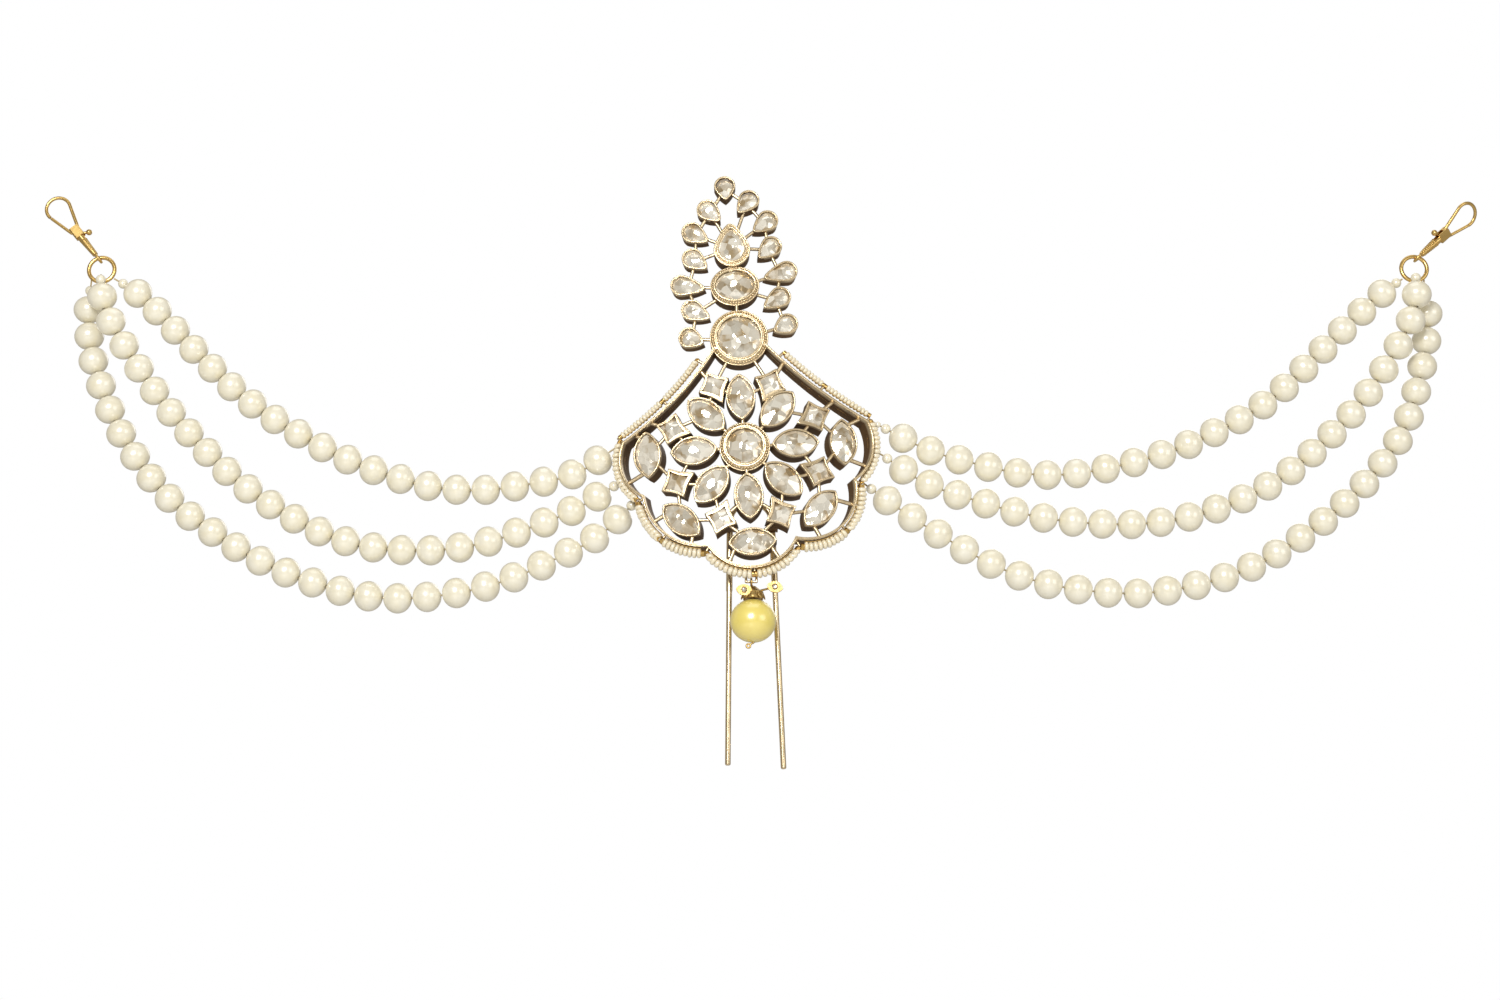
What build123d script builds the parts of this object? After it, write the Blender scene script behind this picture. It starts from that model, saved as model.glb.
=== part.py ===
"""Turban ornament: a pierced gold plate set with foiled stones, worn on the front of a turban.

The plate carries a flower of eight petals and a tapering crest, and has a seed bead border. Three
strings of pearls leave it on each side and end in a ring with a snap hook. A two pronged pin
stands behind the plate, and a single yellow pearl drop hangs from its lowest point.

Millimetres. The front of the plate looks along -Y and +Z is up. The origin lies on the plate's
back between the two prongs of the pin, level with the lower edge, where the piece pins on.
"""
import os
from math import acos, asin, atan2, cos, degrees, hypot, pi, radians, sin, sqrt, tan

from build123d import *

# Plate
plate_half_width = 36.0
plate_height = 64.0
plate_bottom = 2.5
plate_curve_radius = 105.0
plate_lean = 4.5
plate_pivot_height = 15.0
rim_depth = 6.5
rim_wall = 0.7
slit_length = 3.9
slit_width = 0.35

# Stone cups and their stones
cup_depth = 6.0
crest_cup_depth = 6.3
leaf_cup_depth = 4.5
bezel_wall = 0.5
bezel_tip = 0.8
seat_depth = 2.4
seat_clearance = 0.12
girdle_height = 0.7
stone_height = 2.3
table_share = 0.5
peg_radius = 0.5
post_radius = 0.6
peg_setback = 1.3
flower_share = 0.5453
centre_cup_radius = 6.9
centre_stone_radius = 5.0
centre_bevel = 1.0
petal_gap = 0.8
petal_length = 13.4
petal_width = 8.3
square_reach = 4.75
square_hollow = 0.45
square_tail = 1.1
square_stone_reach = 3.75
edge_ring_share_across = 0.7667
edge_ring_share_up = 0.4313
square_ring_share_across = 0.6111
square_ring_share_up = 0.3438
edge_length = 13.6
edge_width = 8.0

# Crest
crest_shift = 0.9
crest_stagger = 1.0
crest_bevel = 1.1
large_cup_rise = 2.8
large_cup_size = 16.1
large_stone_size = 12.2
oval_cup_gap = 1.75
oval_cup_length = 13.5
oval_cup_width = 11.4
oval_stone_length = 11.0
oval_stone_width = 8.5
tear_cup_gap = 0.2
tear_cup_length = 12.6
tear_cup_width = 10.1
tear_stone_length = 9.6
tear_stone_width = 7.7
top_leaf_gap = 8.0
top_leaf_length = 7.2
leaf_width = 6.1

# Seed bead border, its knots and the hanging bar
seed_slant_radius = 1.0
seed_side_radius = 1.1
seed_lobe_radius = 1.3
slant_row_reach = 2.6
slant_row_start = 0.14
slant_row_middle = 0.56
border_gap = 0.15
border_setback = 1.9
border_end_gap = 0.35
knot_radius = 0.4
bar_radius = 0.35
bar_half_length = 1.5
bar_reach = 3.55
bar_setback = 3.9
drop_offset = -1.0
drop_shift = 0.5

# Turban pin and its saddles
pin_radius = 0.9
prong_radius = 0.78
prong_top = -2.0
prong_lean = 4.0
prong_overlap = 0.6
pin_half_gap = 5.9
pin_top = 23.2
pin_length = 73.8
pin_tip_round = 0.45
pin_right_longer = 1.0
pin_left_splay = 0.5
pin_right_splay = 3.1
pin_stand_off = 4.2
pin_clearance = 0.12
saddle_width = 3.2
saddle_height = 2.4
saddle_wrap = 0.35
saddle_z = 16.2

# Pearl strings
pearl_diameter = 8.6
pearl_length = 8.05
pearl_hole_radius = 0.6
thread_radius = 0.25
link_radius = 1.45
small_link_radius = 0.9
string_gap = 0.15

# End rings and snap hooks
ring_radius = 3.75
ring_wire_radius = 0.6
hook_wire_radius = 0.5
eye_wire_radius = 0.42
eye_hole_radius = 0.95
barrel_foot_radius = 0.8
barrel_head_radius = 1.25
collar_height = 8.7
collar_length = 3.6
collar_width = 3.0
collar_thickness = 2.6
lever_pivot_height = 10.0
lever_pin_radius = 0.4
lever_pin_clearance = 0.06
lever_boss_radius = 0.85
lever_thickness = 0.9
lever_arm_half_height = 0.42
lever_slot_clearance = 0.2
lever_gap = 0.2
lever_swing = 14.0
knob_radius = 0.9
knob_reach = 2.7
knob_drop = 1.7
fixed_leg_spread = 1.05
gate_leg_spread = 1.45
gate_leg_height = 1.3
loop_height = 19.9
loop_radius = 3.5
left_hook_seat = -19.0
left_hook_lean = -39.5
left_hook_turn = 0.0
right_hook_seat = 22.0
right_hook_lean = 48.0
right_hook_turn = 220.0

# Drop
drop_eye_hole_radius = 0.62
drop_eye_wire_radius = 0.3
cap_top = 1.25
cap_neck_height = 1.7
cap_bowl_height = 1.9
cap_top_radius = 0.7
cap_waist_radius = 2.85
cap_foot_radius = 2.4
drop_pearl_width = 12.8
drop_pearl_height = 12.1
drop_pearl_gap = 0.12
head_pin_radius = 0.35
head_pin_clearance = 0.12
foot_eye_radius = 0.55
foot_eye_wire_radius = 0.25
foot_eye_aside = 1.3
foot_eye_drop = 0.9
leaf_length = 4.6
leaf_breadth = 3.1
leaf_thickness = 0.8
leaf_stand_off = 2.0
crystal_radius = 0.8
crystal_seat = 0.45
drop_stem_radius = 0.3

# Heights and rings that follow from the sizes above: each cup stands on the one below it.
flower_height = plate_bottom + flower_share * plate_height
petal_ring_radius = centre_cup_radius + petal_gap + petal_length / 2
edge_ring = (edge_ring_share_across * plate_half_width, edge_ring_share_up * plate_height)
square_ring = (square_ring_share_across * plate_half_width, square_ring_share_up * plate_height)
petal_ring = (petal_ring_radius, petal_ring_radius)
large_cup_height = plate_bottom + plate_height + large_cup_rise
oval_cup_height = large_cup_height + large_cup_size / 2 + oval_cup_gap + oval_cup_width / 2
tear_cup_height = oval_cup_height + oval_cup_width / 2 + tear_cup_gap + tear_cup_length / 2
top_leaf_height = tear_cup_height + tear_cup_length / 2 + top_leaf_gap + top_leaf_length / 2
crest_height = top_leaf_height - large_cup_height

# Each row is one arc of the rim, from the neck down each side: the arc's end and a point that it
# passes, across as shares of plate_half_width and up as shares of plate_height.
RIM_ARCS = {
    # name, end across, end up, via across, via up
    "left": (
        ("slant", 0.942, 0.622, 0.550, 0.772),
        ("side lobe", 0.818, 0.368, 0.980, 0.530),
        ("lower lobe", 0.340, 0.115, 0.685, 0.196),
    ),
    "right": (
        ("slant", 0.976, 0.640, 0.556, 0.812),
        ("side lobe", 0.838, 0.374, 1.000, 0.510),
        ("lower lobe", 0.340, 0.117, 0.738, 0.184),
    ),
}
BOTTOM_VIA_UP = 0.0

# Slits along each arc of the rim, as shares of the arc's length.
SLITS = {
    "slant": (0.20, 0.37, 0.54, 0.71, 0.88),
    "side lobe": (0.28, 0.72),
    "lower lobe": (0.22, 0.50, 0.78),
    "bottom lobe": (0.20, 0.40, 0.60, 0.80),
}

# Stones of the flower round its centre: the angle in degrees and the distance from the centre as
# a share of petal_ring, square_ring or edge_ring.
PETALS = tuple((90 - 45 * step, 1.0) for step in range(8))
SQUARES = (
    # angle, reach as a share of the ring between the petals and the edge stones
    (112, 0.895),
    (64, 0.895),
    (20.5, 1.0),
    (-22.8, 1.0),
    (-66.9, 1.0),
    (-112.1, 1.0),
    (-156.4, 0.99),
    (160.8, 0.97),
)
EDGES = ((179, 1.0), (-134.8, 0.995), (-90, 1.0), (-44, 1.0), (0, 1.015))

# Pear shaped cups of the crest, one row for a pair: height as a share of the crest's height over
# the large cup, reach from the crest's axis as a share of crest_half_width, tilt, length.
crest_half_width = 13.7
LEAVES = (
    # height, reach, tilt in degrees, length in mm, the spine cup that its tip joins
    (0.873, 0.401, 47, 8.0, "tear"),
    (0.733, 0.745, 36, 8.4, "tear"),
    (0.560, 0.788, 40, 8.2, "tear"),
    (0.396, 0.993, 15, 10.0, "oval"),
    (0.223, 0.861, 31, 8.8, "oval"),
    (0.053, 1.000, 28, 7.6, "large"),
)

# Routes of the pearl strings, chosen by hand, from beside the rim wall out to beside the ring's
# wire, where the threads are tied. The first and the last pearl sit at a share of the pearl's
# diameter from the two ends of their route.
STRING_ROUTES = {
    # pearls, first and last share, radii of the link beads at the rim and at the ring, points
    "left_upper": (20, 1.052, 1.034, (), (link_radius,), [
        (-35.6, 3.8, 39.1), (-38.0, 4.6, 40.0), (-49.5, 5.2, 31.5), (-83.0, 8.0, 26.5),
        (-115.0, 11.0, 37.0), (-144.5, 13.5, 55.5), (-161.5, 15.5, 72.5), (-178.0, 17.0, 90.0),
        (-186.3, 18.0, 95.05)]),
    "left_middle": (23, 1.087, 1.066, (link_radius,), (link_radius,), [
        (-35.4, 4.0, 30.1), (-37.0, 4.6, 29.5), (-50.5, 5.4, 21.0), (-81.0, 7.5, 10.0),
        (-114.0, 11.0, 12.0), (-144.5, 13.5, 29.5), (-168.0, 15.5, 54.0), (-182.0, 14.8, 74.0),
        (-188.7, 14.0, 86.0), (-189.77, 15.45, 95.75), (-189.55, 17.35, 95.05)]),
    "left_lower": (26, 0.998, 1.038, (link_radius,), (link_radius,), [
        (-31.7, 4.3, 25.0), (-32.5, 4.6, 24.0), (-42.5, 4.8, 13.5), (-73.0, 7.0, -1.0),
        (-105.5, 10.0, -4.0), (-137.5, 13.0, 7.0), (-166.0, 16.0, 26.5), (-182.0, 17.5, 47.0),
        (-192.0, 20.5, 71.0), (-194.8, 23.2, 85.0), (-193.15, 19.05, 95.12)]),
    "right_upper": (20, 1.334, 0.917, (link_radius, small_link_radius), (link_radius,), [
        (33.8, 2.4, 47.25), (34.6, 4.2, 47.2), (50.5, 4.8, 38.5), (83.0, 8.0, 31.0),
        (118.5, 11.0, 39.0), (148.5, 14.0, 55.0), (167.0, 16.0, 74.0), (184.0, 17.5, 90.5),
        (190.55, 18.0, 94.92)]),
    "right_middle": (23, 1.249, 0.992, (link_radius,), (link_radius,), [
        (33.95, 3.7, 38.2), (36.6, 4.6, 38.0), (49.0, 5.0, 29.0), (83.0, 8.0, 19.0),
        (118.0, 11.0, 18.5), (149.5, 14.0, 30.5), (175.0, 16.0, 54.5), (188.0, 14.8, 74.0),
        (193.8, 13.8, 86.0), (193.9, 15.5, 95.85), (193.75, 17.35, 95.35)]),
    "right_lower": (26, 1.159, 1.191, (link_radius,), (link_radius, small_link_radius), [
        (30.5, 4.3, 30.3), (31.5, 4.6, 29.5), (45.5, 4.8, 19.0), (75.0, 7.0, 1.5),
        (110.0, 10.5, -2.5), (142.5, 13.5, 6.0), (170.0, 16.0, 26.0), (188.0, 18.0, 46.0),
        (196.0, 21.5, 70.0), (199.2, 24.0, 84.5), (197.1, 19.05, 95.2)]),
}
LEFT_RING = (-190.1, 18.0, 97.8)
RIGHT_RING = (194.2, 18.0, 98.1)

back_radius = plate_curve_radius
front_radius = plate_curve_radius + rim_depth
plate_place = Pos(0, 0, plate_pivot_height) * Rot(0, -plate_lean, 0) * Pos(0, 0, -plate_pivot_height)


def plate_location(x, z, turn=0.0):
    """Place on the plate's back behind the point x, z of its front, +Z out of the front."""
    swing = asin(x / front_radius)
    normal = Vector(sin(swing), -cos(swing), 0)
    across = Vector(cos(swing), sin(swing), 0)
    origin = Vector(0, back_radius, z) + normal * back_radius
    return Plane(origin, x_dir=across, z_dir=normal).location * Rot(0, 0, turn)


def outline_round(length, width):
    """Closed outline of a round or oval stone, its long axis along X."""
    if abs(length - width) < 1e-6:
        return Wire(Edge.make_circle(length / 2))
    return Wire(Edge.make_ellipse(length / 2, width / 2))


def outline_marquise(length, width):
    """Closed outline of a pointed oval, its points on X."""
    near, far = (-length / 2, 0), (length / 2, 0)
    return Wire([ThreePointArc(far, (0, width / 2), near), ThreePointArc(near, (0, -width / 2), far)])


def outline_pear(length, width):
    """Closed outline of a pear, its round end towards +X and its point towards -X."""
    centre = length / 2 - width / 2
    tip = (-length / 2, 0)
    top, end, foot = (centre, width / 2), (length / 2, 0), (centre, -width / 2)
    bulge = ((centre - length / 2) / 2, width * 0.335)
    return Wire([
        ThreePointArc(foot, end, top),
        ThreePointArc(top, bulge, tip),
        ThreePointArc(tip, (bulge[0], -bulge[1]), foot),
    ])


def outline_square(reach, tail):
    """Closed outline of a square with hollow sides, corners on the axes, one drawn out to -X."""
    corners = [(reach, 0), (0, reach), (-reach - tail, 0), (0, -reach)]
    sides = []
    for start, end in zip(corners, corners[1:] + corners[:1]):
        middle = Vector((start[0] + end[0]) / 2, (start[1] + end[1]) / 2)
        hollow = middle * (1 - square_hollow / middle.length)
        sides.append(ThreePointArc(start, (hollow.X, hollow.Y), end))
    return Wire(sides)


def faceted_stone(outline, sides):
    """Flat backed stone: a low girdle, then twice as many facets as sides up to a flat table."""
    girdle = [outline.position_at(step / sides) for step in range(sides)]
    crown = [outline.position_at(((step + 0.5) / sides) % 1.0) for step in range(sides)]
    foot = [Vector(p.X, p.Y, 0) for p in girdle]
    belt = [Vector(p.X, p.Y, girdle_height) for p in girdle]
    table = [Vector(p.X * table_share, p.Y * table_share, stone_height) for p in crown]
    faces = [Face(Wire.make_polygon(foot)), Face(Wire.make_polygon(table))]
    for step in range(sides):
        after = (step + 1) % sides
        faces.append(Face(Wire.make_polygon([foot[step], foot[after], belt[after], belt[step]])))
        faces.append(Face(Wire.make_polygon([belt[step], belt[after], table[step]])))
        faces.append(Face(Wire.make_polygon([belt[after], table[after], table[step]])))
    return Solid(Shell(faces))


class Cup:
    """One stone cup: where it sits on the plate, its outlines and how deep it is."""

    def __init__(self, name, x, z, turn, depth, outer, stone, seat, sides, bevel=0.0):
        self.name = name
        self.x = x
        self.z = z
        self.depth = depth
        self.outer = outer
        self.stone_outline = stone
        self.seat_outline = seat
        self.sides = sides
        self.bevel = bevel
        self.location = plate_location(x, z, turn)

    def wall(self):
        """The cup before its seat is cut."""
        block = extrude(Face(self.outer), self.depth, dir=(0, 0, 1))
        if self.bevel:
            block = chamfer(block.edges().group_by(Axis.Z)[-1], self.bevel)
        return self.location * block

    def seat(self):
        """What is cut away for the stone."""
        cut = extrude(Face(self.seat_outline), seat_depth + self.depth, dir=(0, 0, 1))
        return self.location * Pos(0, 0, self.depth - seat_depth) * cut

    def stone(self):
        """The stone in its seat."""
        floor = self.depth - seat_depth + seat_clearance
        return self.location * Pos(0, 0, floor) * faceted_stone(self.stone_outline, self.sides)


def flower_cups():
    """The centre, petals, squares and edge stones."""
    gap = 2 * seat_clearance
    cups = [Cup(
        "centre_stone", 0, flower_height, 0, cup_depth,
        outline_round(2 * centre_cup_radius, 2 * centre_cup_radius),
        outline_round(2 * centre_stone_radius, 2 * centre_stone_radius),
        outline_round(2 * centre_stone_radius + gap, 2 * centre_stone_radius + gap),
        12, centre_bevel)]

    def around(name, rows, ring, turn, make):
        for number, (angle, share) in enumerate(rows, start=1):
            x = ring[0] * share * cos(radians(angle))
            z = flower_height + ring[1] * share * sin(radians(angle))
            cups.append(make(f"{name}_{number}", x, z, angle + turn))

    def marquise(length, width):
        def make(name, x, z, turn):
            stone_length, stone_width = length - 2 * bezel_tip, width - 2 * bezel_wall
            return Cup(
                name, x, z, turn, cup_depth, outline_marquise(length, width),
                outline_marquise(stone_length, stone_width),
                outline_marquise(stone_length + 2 * gap, stone_width + gap), 10)
        return make

    def square(name, x, z, turn):
        return Cup(
            name, x, z, turn, cup_depth, outline_square(square_reach, square_tail),
            outline_square(square_stone_reach, 0),
            outline_square(square_stone_reach + gap, 0), 8)

    around("petal_stone", PETALS, petal_ring, 0, marquise(petal_length, petal_width))
    around("square_stone", SQUARES, square_ring, 0, square)
    around("edge_stone", EDGES, edge_ring, 90, marquise(edge_length, edge_width))
    return cups


def crest_cups():
    """The three cups on the crest's axis and the thirteen pear shaped ones beside them."""
    gap = 2 * seat_clearance
    cups = [
        Cup("crest_stone_1", crest_shift, large_cup_height, 0, crest_cup_depth,
            outline_round(large_cup_size, large_cup_size),
            outline_round(large_stone_size, large_stone_size),
            outline_round(large_stone_size + gap, large_stone_size + gap), 12, crest_bevel),
        Cup("crest_stone_2", crest_shift, oval_cup_height, 0, crest_cup_depth,
            outline_round(oval_cup_length, oval_cup_width),
            outline_round(oval_stone_length, oval_stone_width),
            outline_round(oval_stone_length + gap, oval_stone_width + gap), 12, crest_bevel),
        Cup("crest_stone_3", crest_shift, tear_cup_height, -90, crest_cup_depth,
            outline_pear(tear_cup_length, tear_cup_width),
            outline_pear(tear_stone_length, tear_stone_width),
            outline_pear(tear_stone_length + 2 * gap, tear_stone_width + gap), 11),
    ]

    def leaf(number, x, z, turn, length):
        stone_length, stone_width = length - bezel_tip - bezel_wall, leaf_width - 2 * bezel_wall
        return Cup(
            f"leaf_stone_{number}", x, z, turn, leaf_cup_depth, outline_pear(length, leaf_width),
            outline_pear(stone_length, stone_width),
            outline_pear(stone_length + gap, stone_width + gap), 9)

    cups.append(leaf(1, crest_shift * 0.4, top_leaf_height, 90, top_leaf_length))
    for side, first in ((-1, 2), (1, 8)):
        for row, (height, reach, tilt, length, _) in enumerate(LEAVES):
            x = crest_shift + side * reach * crest_half_width
            z = large_cup_height + height * crest_height + side * crest_stagger
            turn = tilt if side > 0 else 180 - tilt
            cups.append(leaf(first + row, x, z, turn, length))
    return cups


def circle_through(start, via, end):
    """Centre and radius of the circle through three points."""
    ax, ay, bx, by, cx, cy = *start, *via, *end
    twice = 2 * (ax * (by - cy) + bx * (cy - ay) + cx * (ay - by))
    a2, b2, c2 = ax * ax + ay * ay, bx * bx + by * by, cx * cx + cy * cy
    x = (a2 * (by - cy) + b2 * (cy - ay) + c2 * (ay - by)) / twice
    y = (a2 * (cx - bx) + b2 * (ax - cx) + c2 * (bx - ax)) / twice
    return (x, y), hypot(ax - x, ay - y)


def circles_meet(first, second, near):
    """The crossing of two circles that lies nearest to a point."""
    (ax, ay), ar = first
    (bx, by), br = second
    apart = hypot(bx - ax, by - ay)
    along = (ar * ar - br * br + apart * apart) / (2 * apart)
    aside = sqrt(max(ar * ar - along * along, 0.0))
    ux, uy = (bx - ax) / apart, (by - ay) / apart
    foot = (ax + along * ux, ay + along * uy)
    options = [(foot[0] - side * aside * uy, foot[1] + side * aside * ux) for side in (-1, 1)]
    return min(options, key=lambda p: hypot(p[0] - near[0], p[1] - near[1]))


def rim_outline():
    """The rim's centre line as arcs (name, start, via, end), down the left side and up the right."""
    def up(share):
        return plate_bottom + share * plate_height

    neck_drop = large_cup_height - up(1.0)
    neck = sqrt((large_cup_size / 2) ** 2 - neck_drop ** 2) - rim_wall / 2
    sides = {}
    for side, sign in (("left", -1), ("right", 1)):
        start = (crest_shift + sign * neck, up(1.0))
        sides[side] = []
        for name, across, height, via_across, via_height in RIM_ARCS[side]:
            end = (sign * across * plate_half_width, up(height))
            via = (sign * via_across * plate_half_width, up(via_height))
            sides[side].append((name, start, via, end))
            start = end
    left, right = sides["left"], sides["right"]
    bottom = ("bottom lobe", left[-1][3], (0, up(BOTTOM_VIA_UP)), right[-1][3])
    return left + [bottom] + [(name, b, v, a) for name, a, v, b in reversed(right)]


def offset_outline(amount):
    """The rim's arcs moved outwards by an amount, with their corners worked out again."""
    moved = []
    for name, start, via, end in rim_outline():
        centre, radius = circle_through(start, via, end)
        bend = (via[0] - start[0]) * (end[1] - via[1]) - (via[1] - start[1]) * (end[0] - via[0])
        new_radius = radius + amount if bend > 0 else radius - amount
        moved.append((name, centre, radius, new_radius, start, via, end))

    def shifted(point, centre, radius, new_radius):
        grow = new_radius / radius
        return (centre[0] + (point[0] - centre[0]) * grow, centre[1] + (point[1] - centre[1]) * grow)

    corners = [shifted(moved[0][4], *moved[0][1:4])]
    for before, after in zip(moved, moved[1:]):
        corners.append(circles_meet((before[1], before[3]), (after[1], after[3]), after[4]))
    corners.append(shifted(moved[-1][6], *moved[-1][1:4]))
    arcs = []
    for number, (name, centre, radius, new_radius, _, via, _) in enumerate(moved):
        arcs.append((name, corners[number], shifted(via, centre, radius, new_radius), corners[number + 1]))
    return arcs


def arc_point(arc, share):
    """Point at a share of an arc's sweep, its tangent's angle in degrees, and the arc's length."""
    _, start, via, end = arc
    centre, radius = circle_through(start, via, end)
    first = atan2(start[1] - centre[1], start[0] - centre[0])
    middle = atan2(via[1] - centre[1], via[0] - centre[0])
    last = atan2(end[1] - centre[1], end[0] - centre[0])
    sweep = (last - first) % (2 * pi)
    if (middle - first) % (2 * pi) > sweep:
        sweep -= 2 * pi
    angle = first + share * sweep
    point = (centre[0] + radius * cos(angle), centre[1] + radius * sin(angle))
    return point, degrees(angle) + 90, radius * abs(sweep)


def rim_section(arcs, y):
    """Closed wire of the arcs in a plane of constant y, with the walls fanning from one axis."""
    def drawn(point):
        scale = (back_radius - y) / sqrt(front_radius ** 2 - point[0] ** 2)
        return Vector(point[0] * scale, y, point[1])

    edges = [ThreePointArc(drawn(start), drawn(via), drawn(end)) for _, start, via, end in arcs]
    edges.append(Line(drawn(arcs[-1][3]), drawn(arcs[0][1])))
    return Wire(edges)


def rim_wall_solid():
    """The lobed rim wall, curved with the plate and pierced by its slits."""
    before = -rim_depth - 2
    behind = back_radius - sqrt(back_radius ** 2 - plate_half_width ** 2) + 3
    blocks = []
    for side in (0.5, -0.5):
        arcs = offset_outline(side * rim_wall)
        sections = [rim_section(arcs, before), rim_section(arcs, behind)]
        blocks.append(Solid.make_loft(sections, ruled=True))
    tall = 2 * (plate_height + plate_bottom)
    shell = Cylinder(front_radius, tall) - Cylinder(back_radius, tall)
    wall = (blocks[0] - blocks[1]) & (Pos(0, back_radius, plate_height / 2) * shell)
    slit = Box(slit_length, 4 * rim_wall, slit_width)
    slits = []
    for arc in rim_outline():
        for share in SLITS[arc[0]]:
            (x, z), turn, _ = arc_point(arc, share)
            slits.append(plate_location(x, z, turn) * Pos(0, 0, rim_depth / 2) * slit)
    return wall - slits


def rod(start, end, radius):
    """Round bar between two points."""
    start, end = Vector(*start), Vector(*end)
    along = end - start
    bar = Solid.make_cylinder(radius, along.length, Plane(start, z_dir=along))
    return bar


def plate_point(x, z, height):
    """Point over the plate's back, height out along its own normal."""
    return (plate_location(x, z) * Pos(0, 0, height)).position


def peg(a, b, radius=peg_radius):
    """Soldered peg between two cups, or a cup and a point of the rim, a little behind the fronts."""
    depth = min(a[2], b[2]) - peg_setback
    return rod(plate_point(a[0], a[1], depth), plate_point(b[0], b[1], depth), radius)


def pegs(cups):
    """All pegs of the plate and the crest."""
    by_name = {cup.name: (cup.x, cup.z, cup.depth) for cup in cups}
    centre = by_name["centre_stone"]
    petals = [by_name[f"petal_stone_{n}"] for n in range(1, 9)]
    squares = [by_name[f"square_stone_{n}"] for n in range(1, 9)]
    edges = [by_name[f"edge_stone_{n}"] for n in range(1, 6)]
    large, oval, tear = (by_name[f"crest_stone_{n}"] for n in range(1, 4))
    leaves = [by_name[f"leaf_stone_{n}"] for n in range(1, 14)]
    joined = [(centre, petal) for petal in petals]

    def near(place, others, count):
        return sorted(others, key=lambda o: hypot(o[0] - place[0], o[1] - place[1]))[:count]

    for square in squares:
        joined += [(square, petal) for petal in near(square, petals, 2)]
    for edge in edges:
        joined += [(edge, square) for square in near(edge, squares, 2)]
    joined += [(square, large) for square in near(large, squares, 2)]
    joined += [(large, oval), (oval, tear)]
    spine = {"large": large, "oval": oval, "tear": tear}
    for first in (1, 7):
        side = leaves[first:first + 6]
        joined += list(zip(side, side[1:]))
        joined += [(leaf, spine[row[4]]) for leaf, row in zip(side, LEAVES)]
        joined.append((leaves[0], side[0]))
    solids = [peg(a, b) for a, b in joined]
    return solids + rim_posts(edges, near(large, squares, 4))


def rim_posts(edges, squares):
    """Posts from the edge stones, and from the upper squares, out to the rim wall."""
    arcs = rim_outline()
    spots = []
    for arc in arcs:
        for step in range(21):
            (x, z), _, _ = arc_point(arc, step / 20)
            spots.append((x, z, rim_depth))

    def ray(place, angle):
        """The rim spot that lies nearest to a direction from a cup."""
        def miss(spot):
            turn = atan2(spot[1] - place[1], spot[0] - place[0]) - angle
            return abs(atan2(sin(turn), cos(turn))) * hypot(spot[0] - place[0], spot[1] - place[1])
        ahead = [s for s in spots if cos(atan2(s[1] - place[1], s[0] - place[0]) - angle) > 0.5]
        return min(ahead, key=miss)

    posts = []
    for place in edges:
        outward = atan2(place[1] - flower_height, place[0])
        for swing in (-pi / 5, pi / 5):
            across = (place[0] - sin(outward) * edge_length * 0.32 * (swing / abs(swing)),
                      place[1] + cos(outward) * edge_length * 0.32 * (swing / abs(swing)), place[2])
            posts.append(peg(across, ray(across, outward + swing * 0.6), post_radius))
    for place in squares:
        outward = atan2(place[1] - flower_height, place[0])
        aim = outward * 0.5 + (pi / 4 if place[0] < 0 else 0) + pi / 8
        posts.append(peg(place, ray(place, aim), post_radius))
    return posts


def row_arc(number):
    """Centre line of the seed row beside one arc of the rim, and the row's radius."""
    name = rim_outline()[number][0]
    radius = {"slant": seed_slant_radius, "side lobe": seed_side_radius}.get(name, seed_lobe_radius)
    reach = slant_row_reach if name == "slant" else rim_wall / 2 + border_gap + radius
    return offset_outline(reach)[number], radius


def row_ties(number):
    """Shares of one seed row's length where it is tied to a lug: start, any middle, end."""
    name = rim_outline()[number][0]
    if name != "slant":
        return [0.0, 1.0] if name == "side lobe" else [0.0, 0.5, 1.0]
    ties = [slant_row_start, slant_row_middle, 1.0]
    return ties if number == 0 else [1 - tie for tie in reversed(ties)]


def border_stretches():
    """The seed rows between their ties, as (arc, from share, to share, radius)."""
    stretches = []
    for number in range(len(rim_outline())):
        arc, radius = row_arc(number)
        length = arc_point(arc, 0)[2]
        ties = row_ties(number)
        for before, after in zip(ties, ties[1:]):
            corner = radius + border_end_gap
            lug = knot_radius + border_end_gap
            start = (corner if before == 0.0 else lug) / length
            end = (corner if after == 1.0 else lug) / length
            stretches.append((arc, before + start, after - end, radius))
    return stretches


def border_point(point, setback=border_setback):
    """A point beside the rim at a depth behind its front edge, on the curved plate."""
    return plate_point(point[0], point[1], rim_depth - setback)


def route_radii(points):
    """Radius of each arc of a tube: 0.45 of the shorter run over the tangent of half the turn."""
    radii = []
    for before, here, after in zip(points, points[1:], points[2:]):
        first, second = Vector(*here) - Vector(*before), Vector(*after) - Vector(*here)
        turn = radians(first.get_angle(second))
        radii.append(0.45 * min(first.length, second.length) / tan(turn / 2))
    return radii


def tube(points, radius):
    """Round tube along straight runs joined by arcs."""
    path = FilletPolyline(*points, radius=route_radii(points))
    section = Plane(path @ 0, z_dir=path % 0) * Circle(radius)
    return sweep(section, path=path), path


def seed_border():
    """The seed rows as plain tubes."""
    rows = []
    for arc, start, end, radius in border_stretches():
        shares = (start, (start + end) / 2, end)
        row = ThreePointArc(*[border_point(arc_point(arc, share)[0]) for share in shares])
        rows.append(sweep(Plane(row @ 0, z_dir=row % 0) * Circle(radius), path=row))
    return rows


def bar_ends():
    """The two ends of the bar that the drop hangs on."""
    arc = next(a for a in offset_outline(bar_reach) if a[0] == "bottom lobe")
    length = arc_point(arc, 0)[2]
    shares = [0.5 + (drop_offset + side * bar_half_length) / length for side in (-1, 1)]
    return [border_point(arc_point(arc, share)[0], bar_setback) for share in shares]


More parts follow.
